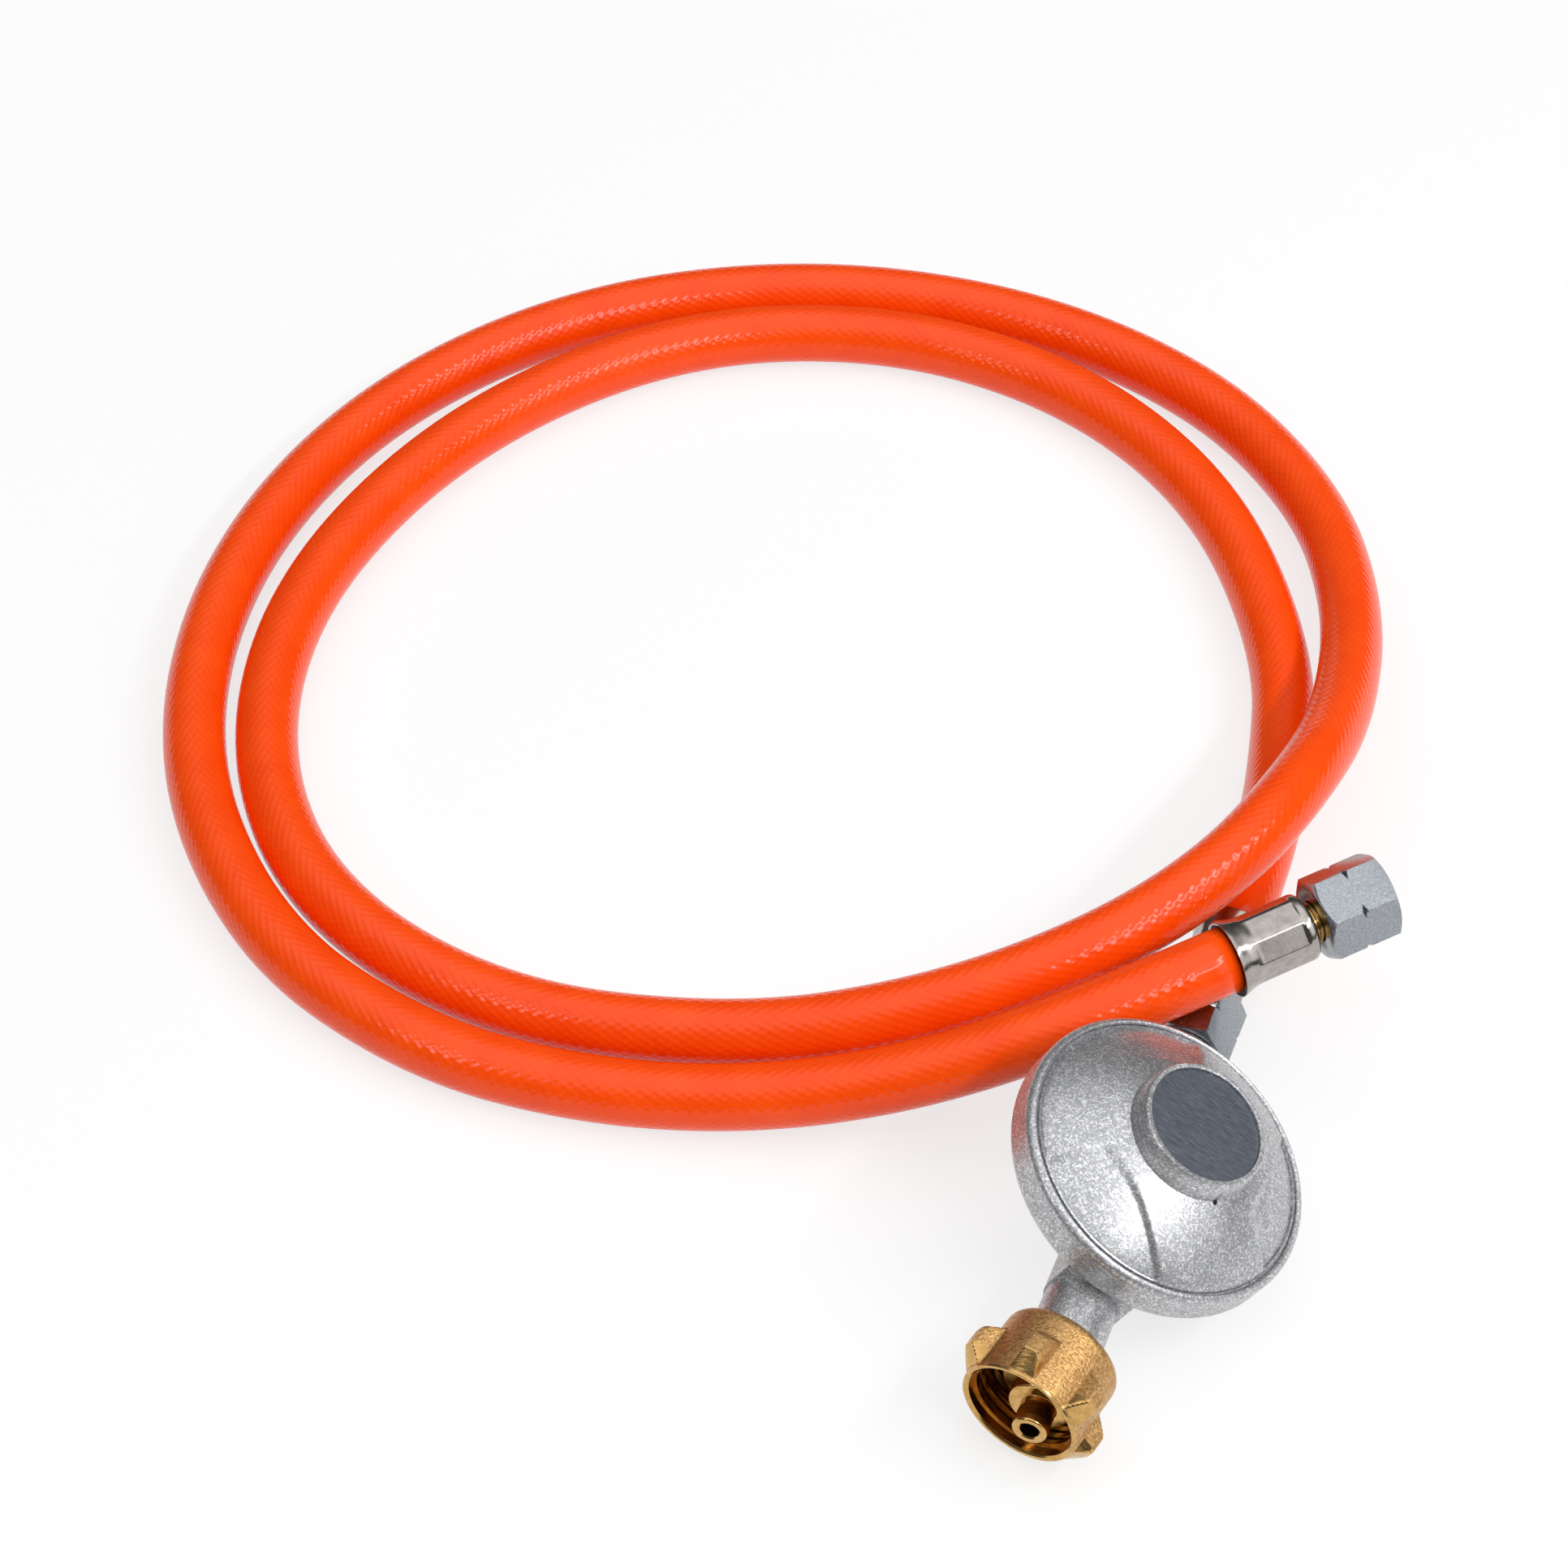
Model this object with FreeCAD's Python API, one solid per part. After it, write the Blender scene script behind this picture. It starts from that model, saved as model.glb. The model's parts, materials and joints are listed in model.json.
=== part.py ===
import FreeCAD, Part
import math
import os

# A low pressure propane regulator with its hose, lying on a floor, in millimetres.
# X is to the right, Y runs from the inlet to the outlet and Z is up. The origin is on the
# floor, under the middle of the regulator. The regulator leans to the right about its
# inlet and outlet axis, and most of its pieces are drawn upright round the disc's own
# axis, with Z = 0 on the inlet and outlet axis, and are then leaned over.

V = FreeCAD.Vector
X_AXIS = V(1, 0, 0)
Y_AXIS = V(0, 1, 0)
Z_AXIS = V(0, 0, 1)
CENTRE = V(0, 0, 0)

# Clearances
FIT = 0.05            # between pieces that sit in each other and don't move
RUN = 0.3             # between pieces that move past each other
PIN_FIT = 0.1         # between a hinge pin and its bore

# How the regulator lies
LEAN = 28.43          # degrees that the disc leans to the right

# Wing nut at the inlet, drawn from its mouth back along Y
NUT_MOUTH_R = 12.0
NUT_BACK_R = 11.9
NUT_LENGTH = 16.7
NUT_CHAMFER_R = 11.4
NUT_CHAMFER = 1.2
NUT_THREAD_R = 9.9
NUT_THREAD_END = 6.0
NUT_BORE_R = 10.9
NUT_BACK_WALL = 3.0
NUT_BACK_HOLE_R = 8.8
NUT_BACK_ROUND = 1.6
NUT_YAW = 12.95       # degrees that the loose nut turns to the left on the neck
NUT_DIP = 1.5         # degrees that its mouth dips
NUT_SHIFT_X = -3.1    # its mouth's middle, beside the neck's axis
LUGS = 6
LUG_R = 15.3
LUG_ROOT_W = 4.6
LUG_TIP_W = 3.2
LUG_START = 0.4
LUG_FULL = 3.8
LUG_TOP_END = 7.6
LUG_END = 10.4

# Inlet nozzle, measured along Y from the disc's axis
COLLAR_BACK = -45.9
COLLAR_THICK = 2.5
COLLAR_R = 8.9
NOZZLE_TIP = -59.8
NOZZLE_R = 3.4
NOZZLE_CHAMFER = 0.6
NOZZLE_STEP_R = 6.0
NOZZLE_STEP_END = -54.0
NOZZLE_BORE_R = 1.9
SHANK_R = 5.0
SHANK_LENGTH = 9.9
NUT_MOUTH_Y = COLLAR_BACK - 10.8

# Lower body
RIM_R = 30.1
RIM_LOW = 7.9
RIM_HIGH = 14.0
RIM_ROUND = 1.4
LIP_TOP = 16.3
LIP_R = RIM_R - 1.8
LIP_UNDER = 15.3
GROOVE_R = RIM_R - 1.0
LEDGE = 12.8
BODY_LOW = 3.5
BODY_FLAT_R = 18.0
BODY_KNEE_R = RIM_R - RIM_ROUND - 1.1
CHAMBER_R = BODY_KNEE_R - 3.1
BODY_KNEE = 6.0
FLOOR_WALL = 1.4
BEAM_R = 7.4
BEAM_FRONT = -28.5
BEAM_BACK = 33.0
NECK_R = 7.1
BORE_R = 3.65
SPIGOT_R = 6.45
SPIGOT_LENGTH = 13.0
SPIGOT_CHAMFER = 0.8
CONE_R = 5.4
CONE_SLOPE = math.tan(math.radians(30))
SPIGOT_END = BEAM_BACK + SPIGOT_LENGTH

# Place of the disc's axis: the middle of the regulator's box is at X = 0 and Y = 0, and the
# wing nut's lowest lug stands on the floor
COS_LEAN = math.cos(math.radians(LEAN))
SIN_LEAN = math.sin(math.radians(LEAN))
LIP_MID_R = RIM_R - 0.4
LIP_MID = LIP_TOP - 0.6
ROUND_MID_R = RIM_R - 0.3 * RIM_ROUND
ROUND_MID = RIM_LOW + 0.25 * RIM_ROUND
LEFT_REACH = ROUND_MID_R * COS_LEAN - ROUND_MID * SIN_LEAN
RIGHT_REACH = LIP_MID_R * COS_LEAN + LIP_MID * SIN_LEAN
AXIS_X = (LEFT_REACH - RIGHT_REACH) / 2
AXIS_Y = -(NOZZLE_TIP + SPIGOT_END) / 2
AXIS_Z = LUG_R * math.cos(math.radians(NUT_DIP)) - LUG_FULL * math.sin(math.radians(NUT_DIP))

# Upper cover
GAP_PLANE = 16.0
GAP_R = LIP_R - RUN
EDGE_R = GAP_R - 0.5
EDGE_RISE = 0.8
BOSS_FOOT_R = 13.5
DOME_MID_R = (EDGE_R + BOSS_FOOT_R) / 2
DOME_MID = 5.7
BOSS_FOOT = 9.0
BOSS_R = BOSS_FOOT_R - 0.5
BOSS_TOP = 14.05
BOSS_CHAMFER = 0.35
LABEL_R = BOSS_R - 1.2
LABEL_THICK = 0.6
LABEL_DEPTH = 0.7
SCREW_BORE_R = LABEL_R - 1.2
COVER_WALL = 2.2
VENT_R = 0.5
VENT_PLACE = (8.8, -10.5)
BAYS = 3
BAY_DEPTH = 0.9
BAY_CORNER = (-13.7, -10.2)
BAY_SHORT_SIDE = (-0.829, -0.560)
BAY_LONG_SIDE = (0.787, -0.615)
BAY_ROUND = 3.0

# Diaphragm and what it carries
DIAPHRAGM_THICK = 0.6
ROLL_OUT_R = CHAMBER_R - 1.0
ROLL_IN_R = ROLL_OUT_R - 5.0
ROLL_RISE = 1.8
PLATE_R = ROLL_IN_R - 1.5
PLATE_THICK = 0.8
PLATE_RIM = 0.8
STUD_R = 1.5
STUD_NECK_R = 1.0
STUD_HEAD_R = 2.3
STUD_HEAD_THICK = 0.8
STUD_END = 3.0
STUD_NUT_FLATS = 5.5
STUD_NUT_THICK = 2.4
TRAVEL = 1.2          # the diaphragm's travel each way

# Lever, pin and valve
PIN_Y = 14.0
PIN_Z = 8.2
PIN_R = 1.0
PIN_LENGTH = 11.6
LEVER_THICK = 1.6
LEVER_HALF_W = 2.6
LEVER_TIP = -2.7
LEVER_HUB_R = 1.9
SHORT_ARM_HALF_W = 1.9
SHORT_ARM_LOW = -1.2
EAR_IN = LEVER_HALF_W + RUN
EAR_THICK = 2.0
EAR_HALF = 2.4
EAR_ROUND_R = 2.2
SLOT_HALF_W = SHORT_ARM_HALF_W + 2 * RUN
SLOT_HALF = 2.1
PLUNGER_R = 3.35
PLUNGER_FLAT = 2.8
PLUNGER_PAST_PIN = 2.8
NOTCH_GAP = 0.5
PAD_R = 2.7
PAD_THICK = 1.6
PAD_STEM_R = 1.0
PAD_STEM = 2.0
VALVE_GAP = 0.8
SEAT_FACE = -12.0
SEAT_LENGTH = 10.0
SEAT_RIM = 0.9
SEAT_RIM_R = 2.0
SEAT_ORIFICE_R = 0.9
FILTER_LENGTH = 9.0
FILTER_R = 3.1
FILTER_WALL = 0.6

# Spring and adjusting screw
WIRE_R = 0.7
SPRING_R = 7.4
SPRING_TURNS = 4
SCREW_LOW = 24.5
SCREW_THICK = 3.3
SCREW_SOCKET_FLATS = 8.0
SCREW_SOCKET_DEPTH = 2.0

# Hose fittings, measured from the nut's mouth toward the hose
HEX_FLATS = 16.0
HEX_LENGTH = 15.0
HEX_THREAD_R = 6.75
HEX_THREAD_END = 6.6
HEX_RELIEF_R = 6.95
HEX_SHOULDER = 12.0
HEX_MOUTH_R = 7.2
HEX_SHOULDER_R = 4.4
HEX_NOTCH_R = 8.5
HEX_NOTCH_HALF = 0.8
REGULATOR_NUT_MOUTH = 38.0
REGULATOR_NUT_ROLL = 3.0
FREE_NUT_ROLL = 37.8
STEM_HEAD_R = 6.3
STEM_HEAD_FACE = 9.1
STEM_NOSE_R = 4.6
STEM_NECK_R = 4.0
STEM_BORE_R = 2.1
BARBS = 4
BARB_RISE = 0.25
NECK_SHOWN = 2.0
FERRULE_LENGTH = 17.5
FERRULE_R = 7.0
FERRULE_MOUTH_R = 8.0
FERRULE_WALL = 0.8
FERRULE_ROUND = 1.4
FERRULE_FLATS = 8
FERRULE_FLAT_R = 6.85

# Hose
HOSE_R = 6.75
HOSE_BORE_R = 3.15
HOSE_CRIMPED_R = 6.2
HOSE_INSET = 15.5
FIRST_RUN = 22.0
ARC_SHARE = 0.45      # of the shorter run beside a turn


def polar(radius, degrees):
    """A point on a circle round Z."""
    a = math.radians(degrees)
    return radius * math.cos(a), radius * math.sin(a)


def outline(place, start, *steps):
    """A closed wire. A step is a point, or an arc's middle and end."""
    edges = []
    here = start
    for step in steps + (start,):
        if isinstance(step[0], tuple):
            edges.append(Part.Arc(place(*here), place(*step[0]), place(*step[1])).toShape())
            here = step[1]
        elif step != here:
            edges.append(Part.LineSegment(place(*here), place(*step)).toShape())
            here = step
    return Part.Wire(edges)


def turned(start, *steps):
    """A solid of revolution round Z from (radius, height) points."""
    wire = outline(lambda r, z: V(r, 0, z), start, *steps)
    return Part.Face(wire).revolve(CENTRE, Z_AXIS, 360)


def turned_y(start, *steps):
    """A solid of revolution round Y from (y, radius) points."""
    wire = outline(lambda y, r: V(r, y, 0), start, *steps)
    return Part.Face(wire).revolve(CENTRE, Y_AXIS, 360)


def rod_y(radius, start, end):
    """A round rod along Y."""
    return Part.makeCylinder(radius, end - start, V(0, start, 0), Y_AXIS)


def block(x0, x1, y0, y1, z0, z1):
    """A block between two corners."""
    return Part.makeBox(x1 - x0, y1 - y0, z1 - z0, V(x0, y0, z0))


def hexagon(flats, roll=0):
    """Corners of a hexagon, with the first one at the angle roll."""
    return [polar(flats / math.sqrt(3), roll + 60 * i) for i in range(6)]


def dome(offset=0.0):
    """The cover's outer curve, as the arc's start, middle and end."""
    low = (EDGE_R, GAP_PLANE + EDGE_RISE + offset)
    mid = (DOME_MID_R, GAP_PLANE + DOME_MID + offset)
    high = (BOSS_FOOT_R, GAP_PLANE + BOSS_FOOT + offset)
    return low, mid, high


def leaned(shape):
    """Takes a piece from the disc's upright frame to its place."""
    shape.rotate(CENTRE, Y_AXIS, LEAN)
    shape.translate(V(AXIS_X, AXIS_Y, AXIS_Z))
    return shape


def lower_body():
    floor = BODY_LOW + FLOOR_WALL
    knee_slope = (RIM_LOW - BODY_KNEE) / (RIM_R - BODY_KNEE_R)
    bowl = turned((0, BODY_LOW), (BODY_FLAT_R, BODY_LOW), (BODY_KNEE_R, BODY_KNEE),
                  (RIM_R - RIM_ROUND, RIM_LOW - RIM_ROUND * knee_slope),
                  ((ROUND_MID_R, ROUND_MID),
                   (RIM_R, RIM_LOW + RIM_ROUND)), (RIM_R, RIM_HIGH),
                  ((LIP_MID_R, LIP_MID), (RIM_R - 1.2, LIP_TOP)),
                  ((LIP_R + 0.2, LIP_TOP - 0.25), (LIP_R, LIP_UNDER)), (0, LIP_UNDER))
    beam = rod_y(BEAM_R, BEAM_FRONT, BEAM_BACK)
    beam = beam.fuse(block(-BEAM_R, BEAM_R, BEAM_FRONT, BEAM_BACK, 0, RIM_LOW))
    neck = rod_y(NECK_R, COLLAR_BACK, BEAM_FRONT)
    spigot = turned_y((BEAM_BACK, 0), (BEAM_BACK, SPIGOT_R),
                      (SPIGOT_END - SPIGOT_CHAMFER, SPIGOT_R),
                      (SPIGOT_END, SPIGOT_R - SPIGOT_CHAMFER), (SPIGOT_END, 0))
    body = bowl.fuse([beam, neck, spigot]).removeSplitter()
    chamber = turned((0, floor), (BODY_FLAT_R - FLOOR_WALL, floor),
                     (CHAMBER_R, BODY_KNEE + FLOOR_WALL), (CHAMBER_R, LEDGE), (GROOVE_R, LEDGE),
                     (GROOVE_R, LIP_UNDER), (LIP_R, LIP_UNDER), (LIP_R, LIP_TOP + 1),
                     (0, LIP_TOP + 1))
    body = body.cut(chamber)
    # The ears that hold the lever's pin
    for side in (-1, 1):
        inner = side * EAR_IN
        outer = side * (EAR_IN + EAR_THICK)
        ear = block(min(inner, outer), max(inner, outer), PIN_Y - EAR_HALF, PIN_Y + EAR_HALF,
                    BODY_LOW + FLOOR_WALL / 2, PIN_Z)
        top = Part.makeCylinder(EAR_ROUND_R, EAR_THICK, V(min(inner, outer), PIN_Y, PIN_Z), X_AXIS)
        body = body.fuse([ear, top])
    # Passages: the inlet socket, the long bore, the seat of the hose's cone and the slot
    cone_depth = (CONE_R - BORE_R) / CONE_SLOPE
    socket = rod_y(SHANK_R + FIT, COLLAR_BACK, COLLAR_BACK + SHANK_LENGTH + FIT)
    bore = rod_y(BORE_R, COLLAR_BACK, SPIGOT_END)
    cone = turned_y((SPIGOT_END - cone_depth, 0), (SPIGOT_END - cone_depth, BORE_R),
                    (SPIGOT_END, CONE_R), (SPIGOT_END, 0))
    slot = block(-SLOT_HALF_W, SLOT_HALF_W, PIN_Y - SLOT_HALF, PIN_Y + SLOT_HALF, 0, floor)
    pin_hole = Part.makeCylinder(PIN_R + FIT, 4 * EAR_IN + 4 * EAR_THICK,
                                 V(-2 * EAR_IN - 2 * EAR_THICK, PIN_Y, PIN_Z), X_AXIS)
    return leaned(body.cut([socket, bore, cone, slot, pin_hole]).removeSplitter())


def bay(turn):
    """A wedge with one rounded corner, for a recess in the dome, out past its edge."""
    corner = V(*BAY_CORNER, 0)
    short = V(*BAY_SHORT_SIDE, 0).normalize()
    long_side = V(*BAY_LONG_SIDE, 0).normalize()
    half = short.getAngle(long_side) / 2
    reach = BAY_ROUND / math.tan(half)
    middle = (short + long_side).normalize()
    to_arc = BAY_ROUND / math.sin(half) - BAY_ROUND
    a = corner + short * reach
    b = corner + long_side * reach
    m = corner + middle * to_arc
    far_a = corner + short * 2 * RIM_R
    far_b = corner + long_side * 2 * RIM_R
    edges = [Part.LineSegment(far_a, a).toShape(), Part.Arc(a, m, b).toShape(),
             Part.LineSegment(b, far_b).toShape(), Part.LineSegment(far_b, far_a).toShape()]
    wedge = Part.Face(Part.Wire(edges)).extrude(V(0, 0, GAP_PLANE + BOSS_TOP))
    wedge.rotate(CENTRE, Z_AXIS, turn)
    return wedge


def upper_cover():
    low, mid, high = dome()
    top = GAP_PLANE + BOSS_TOP
    label_seat = top - LABEL_DEPTH - LABEL_THICK
    flange_low = LEDGE + DIAPHRAGM_THICK
    inner_high = high[1] - COVER_WALL
    inner_mid = (DOME_MID_R - 1.5, mid[1] - COVER_WALL + 0.8)
    cover = turned((GROOVE_R - FIT, flange_low), (GROOVE_R - FIT, LIP_UNDER), (GAP_R, LIP_UNDER),
                   (GAP_R, GAP_PLANE), low, (mid, high),
                   (BOSS_R, top - BOSS_CHAMFER), (BOSS_R - BOSS_CHAMFER, top),
                   (LABEL_R, top), (LABEL_R, label_seat), (SCREW_BORE_R, label_seat),
                   (SCREW_BORE_R, inner_high), (BOSS_FOOT_R - 1, inner_high),
                   (inner_mid, (CHAMBER_R, low[1] - 0.2)), (CHAMBER_R, flange_low))
    # The bays: a band as deep as they are, cut to three wedges
    above = [(r, z + 3) for r, z in dome()]
    below = [(r, z - BAY_DEPTH) for r, z in dome()]
    band = turned(below[0], (below[1], below[2]), above[2], (above[1], above[0]),
                  (RIM_R, above[0][1]), (RIM_R, GAP_PLANE + 0.3), (EDGE_R, GAP_PLANE + 0.3))
    for i in range(BAYS):
        cover = cover.cut(band.common(bay(360 / BAYS * i)))
    vent = Part.makeCylinder(VENT_R, BOSS_TOP, V(*VENT_PLACE, GAP_PLANE), Z_AXIS)
    return leaned(cover.cut(vent))


def label_disc():
    seat = GAP_PLANE + BOSS_TOP - LABEL_DEPTH - LABEL_THICK
    return leaned(Part.makeCylinder(LABEL_R - FIT, LABEL_THICK, V(0, 0, seat), Z_AXIS))


def adjusting_screw():
    screw = Part.makeCylinder(SCREW_BORE_R - RUN, SCREW_THICK, V(0, 0, SCREW_LOW), Z_AXIS)
    corners = [V(x, y, SCREW_LOW + SCREW_THICK - SCREW_SOCKET_DEPTH)
               for x, y in hexagon(SCREW_SOCKET_FLATS)]
    socket = Part.Face(Part.makePolygon(corners + corners[:1])).extrude(V(0, 0, SCREW_THICK))
    return leaned(screw.cut(socket))


def plate_top():
    return LEDGE + DIAPHRAGM_THICK + PLATE_THICK


def main_spring():
    """An open coil on arcs of a quarter turn, from the plate to the adjusting screw."""
    start = plate_top() + FIT + WIRE_R
    rise = SCREW_LOW - FIT - WIRE_R - start
    quarters = 4 * SPRING_TURNS

    def at(quarter):
        x, y = polar(SPRING_R, 90 * quarter)
        return V(x, y, start + rise * quarter / quarters)

    edges = [Part.Arc(at(i), at(i + 0.5), at(i + 1)).toShape() for i in range(quarters)]
    path = Part.Wire(edges)
    first = edges[0]
    way = first.tangentAt(first.FirstParameter)
    section = Part.Wire(Part.makeCircle(WIRE_R, at(0), way))
    spring = path.makePipeShell([section], True, False)
    print("spring: least gap between turns", round(rise / SPRING_TURNS - 2 * WIRE_R, 2))
    return leaned(spring)


def diaphragm():
    low = LEDGE
    top = LEDGE + DIAPHRAGM_THICK
    mid_r = (ROLL_IN_R + ROLL_OUT_R) / 2
    wall = DIAPHRAGM_THICK / 2
    hole = STUD_R + FIT
    return leaned(turned(
        (hole, low), (ROLL_IN_R + wall, low), ((mid_r, low + ROLL_RISE), (ROLL_OUT_R - wall, low)),
        (GROOVE_R - FIT, low), (GROOVE_R - FIT, top), (ROLL_OUT_R + wall, top),
        ((mid_r, top + ROLL_RISE), (ROLL_IN_R - wall, top)), (hole, top)))


def diaphragm_plate():
    low = LEDGE + DIAPHRAGM_THICK
    top = plate_top()
    hole = STUD_R + FIT
    return leaned(turned((hole, low), (PLATE_R, low), (PLATE_R, top + PLATE_RIM),
                         (PLATE_R - PLATE_THICK, top + PLATE_RIM), (PLATE_R - PLATE_THICK, top),
                         (hole, top)))


def diaphragm_stud():
    lever_low = PIN_Z - LEVER_THICK / 2
    lever_top = PIN_Z + LEVER_THICK / 2
    head_top = lever_low - RUN
    head_low = head_top - STUD_HEAD_THICK
    shoulder = lever_top + RUN
    end = plate_top() + STUD_END
    return leaned(turned((0, head_low), (STUD_HEAD_R, head_low), (STUD_HEAD_R, head_top),
                         (STUD_NECK_R, head_top), (STUD_NECK_R, shoulder),
                         (STUD_HEAD_R, shoulder), (STUD_HEAD_R, LEDGE), (STUD_R, LEDGE),
                         (STUD_R, end - 0.3), (STUD_R - 0.3, end), (0, end)))


def stud_nut():
    corners = [V(x, y, plate_top()) for x, y in hexagon(STUD_NUT_FLATS)]
    nut = Part.Face(Part.makePolygon(corners + corners[:1])).extrude(V(0, 0, STUD_NUT_THICK))
    hole = Part.makeCylinder(STUD_R + FIT, BOSS_TOP, V(0, 0, LEDGE), Z_AXIS)
    return leaned(nut.cut(hole))


def valve_lever():
    low = PIN_Z - LEVER_THICK / 2
    high = PIN_Z + LEVER_THICK / 2
    arm = block(-LEVER_HALF_W, LEVER_HALF_W, LEVER_TIP, PIN_Y, low, high)
    hub = Part.makeCylinder(LEVER_HUB_R, 2 * LEVER_HALF_W, V(-LEVER_HALF_W, PIN_Y, PIN_Z), X_AXIS)
    down = block(-SHORT_ARM_HALF_W, SHORT_ARM_HALF_W, PIN_Y - LEVER_THICK / 2,
                 PIN_Y + LEVER_THICK / 2, SHORT_ARM_LOW, PIN_Z)
    lever = arm.fuse([hub, down])
    fork_half = STUD_NECK_R + RUN
    fork = block(-fork_half, fork_half, LEVER_TIP, 0, low, high)
    fork_end = Part.makeCylinder(fork_half, LEVER_THICK, V(0, 0, low), Z_AXIS)
    bore = Part.makeCylinder(PIN_R + PIN_FIT, 2 * LEVER_HALF_W, V(-LEVER_HALF_W, PIN_Y, PIN_Z), X_AXIS)
    return leaned(lever.cut([fork, fork_end, bore]).removeSplitter())


def lever_pin():
    return leaned(Part.makeCylinder(PIN_R, PIN_LENGTH, V(-PIN_LENGTH / 2, PIN_Y, PIN_Z), X_AXIS))


def pad_face():
    return SEAT_FACE + VALVE_GAP


def valve_plunger():
    start = pad_face() + PAD_THICK
    end = PIN_Y + PLUNGER_PAST_PIN
    rod = rod_y(PLUNGER_R, start, end)
    rod = rod.common(block(-PLUNGER_FLAT, PLUNGER_FLAT, start, end, -PLUNGER_R, PLUNGER_R))
    notch_half = LEVER_THICK / 2 + NOTCH_GAP
    notch = block(-PLUNGER_R, PLUNGER_R, PIN_Y - notch_half, PIN_Y + notch_half,
                  SHORT_ARM_LOW - NOTCH_GAP, PLUNGER_R)
    pocket = rod_y(PAD_STEM_R, start, start + PAD_STEM)
    return leaned(rod.cut([notch, pocket]))


def valve_pad():
    face = pad_face()
    back = face + PAD_THICK
    return leaned(turned_y((face, 0), (face, PAD_R - 0.2), (face + 0.2, PAD_R), (back, PAD_R),
                           (back, PAD_STEM_R), (back + PAD_STEM, PAD_STEM_R), (back + PAD_STEM, 0)))


def valve_seat():
    back = SEAT_FACE - SEAT_LENGTH
    shoulder = SEAT_FACE - SEAT_RIM
    return leaned(turned_y((back, SEAT_ORIFICE_R), (back, BORE_R - FIT), (shoulder, BORE_R - FIT),
                           (shoulder, SEAT_RIM_R), (SEAT_FACE, SEAT_ORIFICE_R + 0.4),
                           (SEAT_FACE, SEAT_ORIFICE_R)))


def inlet_nozzle():
    front = COLLAR_BACK - COLLAR_THICK
    end = COLLAR_BACK + SHANK_LENGTH
    nozzle = turned_y((NOZZLE_TIP, NOZZLE_BORE_R), (NOZZLE_TIP, NOZZLE_R - NOZZLE_CHAMFER),
                      (NOZZLE_TIP + NOZZLE_CHAMFER, NOZZLE_R), (NOZZLE_STEP_END, NOZZLE_R),
                      (NOZZLE_STEP_END, NOZZLE_STEP_R - NOZZLE_CHAMFER),
                      (NOZZLE_STEP_END + NOZZLE_CHAMFER, NOZZLE_STEP_R), (front, NOZZLE_STEP_R),
                      (front, COLLAR_R), (COLLAR_BACK, COLLAR_R), (COLLAR_BACK, SHANK_R),
                      (end, SHANK_R), (end, NOZZLE_BORE_R))
    return leaned(nozzle)


def inlet_filter():
    """A small cup of sintered bronze behind the nozzle."""
    start = COLLAR_BACK + SHANK_LENGTH + FIT
    end = start + FILTER_LENGTH
    inner = FILTER_R - FILTER_WALL
    return leaned(turned_y((start, inner), (start, BORE_R - FIT), (start + 1, BORE_R - FIT),
                           (start + 1, FILTER_R), (end, FILTER_R), (end, 0), (end - 1, 0),
                           (end - 1, inner)))


def wing_nut():
    back = NUT_LENGTH
    wall = NUT_LENGTH - NUT_BACK_WALL
    thread_slope = NUT_BORE_R - NUT_THREAD_R
    ring = turned_y((0, NUT_CHAMFER_R), (0, NUT_MOUTH_R), (back - NUT_BACK_ROUND, NUT_BACK_R),
                    ((back - 0.3 * NUT_BACK_ROUND, NUT_BACK_R - 0.3 * NUT_BACK_ROUND),
                     (back, NUT_BACK_R - NUT_BACK_ROUND)),
                    (back, NUT_BACK_HOLE_R), (wall, NUT_BACK_HOLE_R), (wall, NUT_BORE_R),
                    (NUT_THREAD_END + thread_slope, NUT_BORE_R), (NUT_THREAD_END, NUT_THREAD_R),
                    (NUT_CHAMFER, NUT_THREAD_R))
    sunk = NUT_BACK_R - 0.4
    side = outline(lambda y, z: V(-LUG_ROOT_W, y, z), (LUG_START, sunk),
                   (LUG_START, NUT_MOUTH_R + 0.1), (LUG_FULL, LUG_R), (LUG_TOP_END, LUG_R),
                   (LUG_END, NUT_BACK_R), (LUG_END, sunk))
    side = Part.Face(side).extrude(V(2 * LUG_ROOT_W, 0, 0))
    front = outline(lambda x, z: V(x, 0, z), (-LUG_ROOT_W / 2, sunk), (LUG_ROOT_W / 2, sunk),
                    (LUG_TIP_W / 2, LUG_R), (-LUG_TIP_W / 2, LUG_R))
    lug = side.common(Part.Face(front).extrude(V(0, NUT_LENGTH, 0)))
    lugs = []
    for i in range(LUGS):
        copy = lug.copy()
        copy.rotate(CENTRE, Y_AXIS, 360 / LUGS * i)
        lugs.append(copy)
    nut = ring.fuse(lugs)
    nut.rotate(CENTRE, X_AXIS, NUT_DIP)
    nut.rotate(CENTRE, Z_AXIS, -NUT_YAW)
    nut.translate(V(AXIS_X + NUT_SHIFT_X, AXIS_Y + NUT_MOUTH_Y, AXIS_Z))
    return nut


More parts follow.
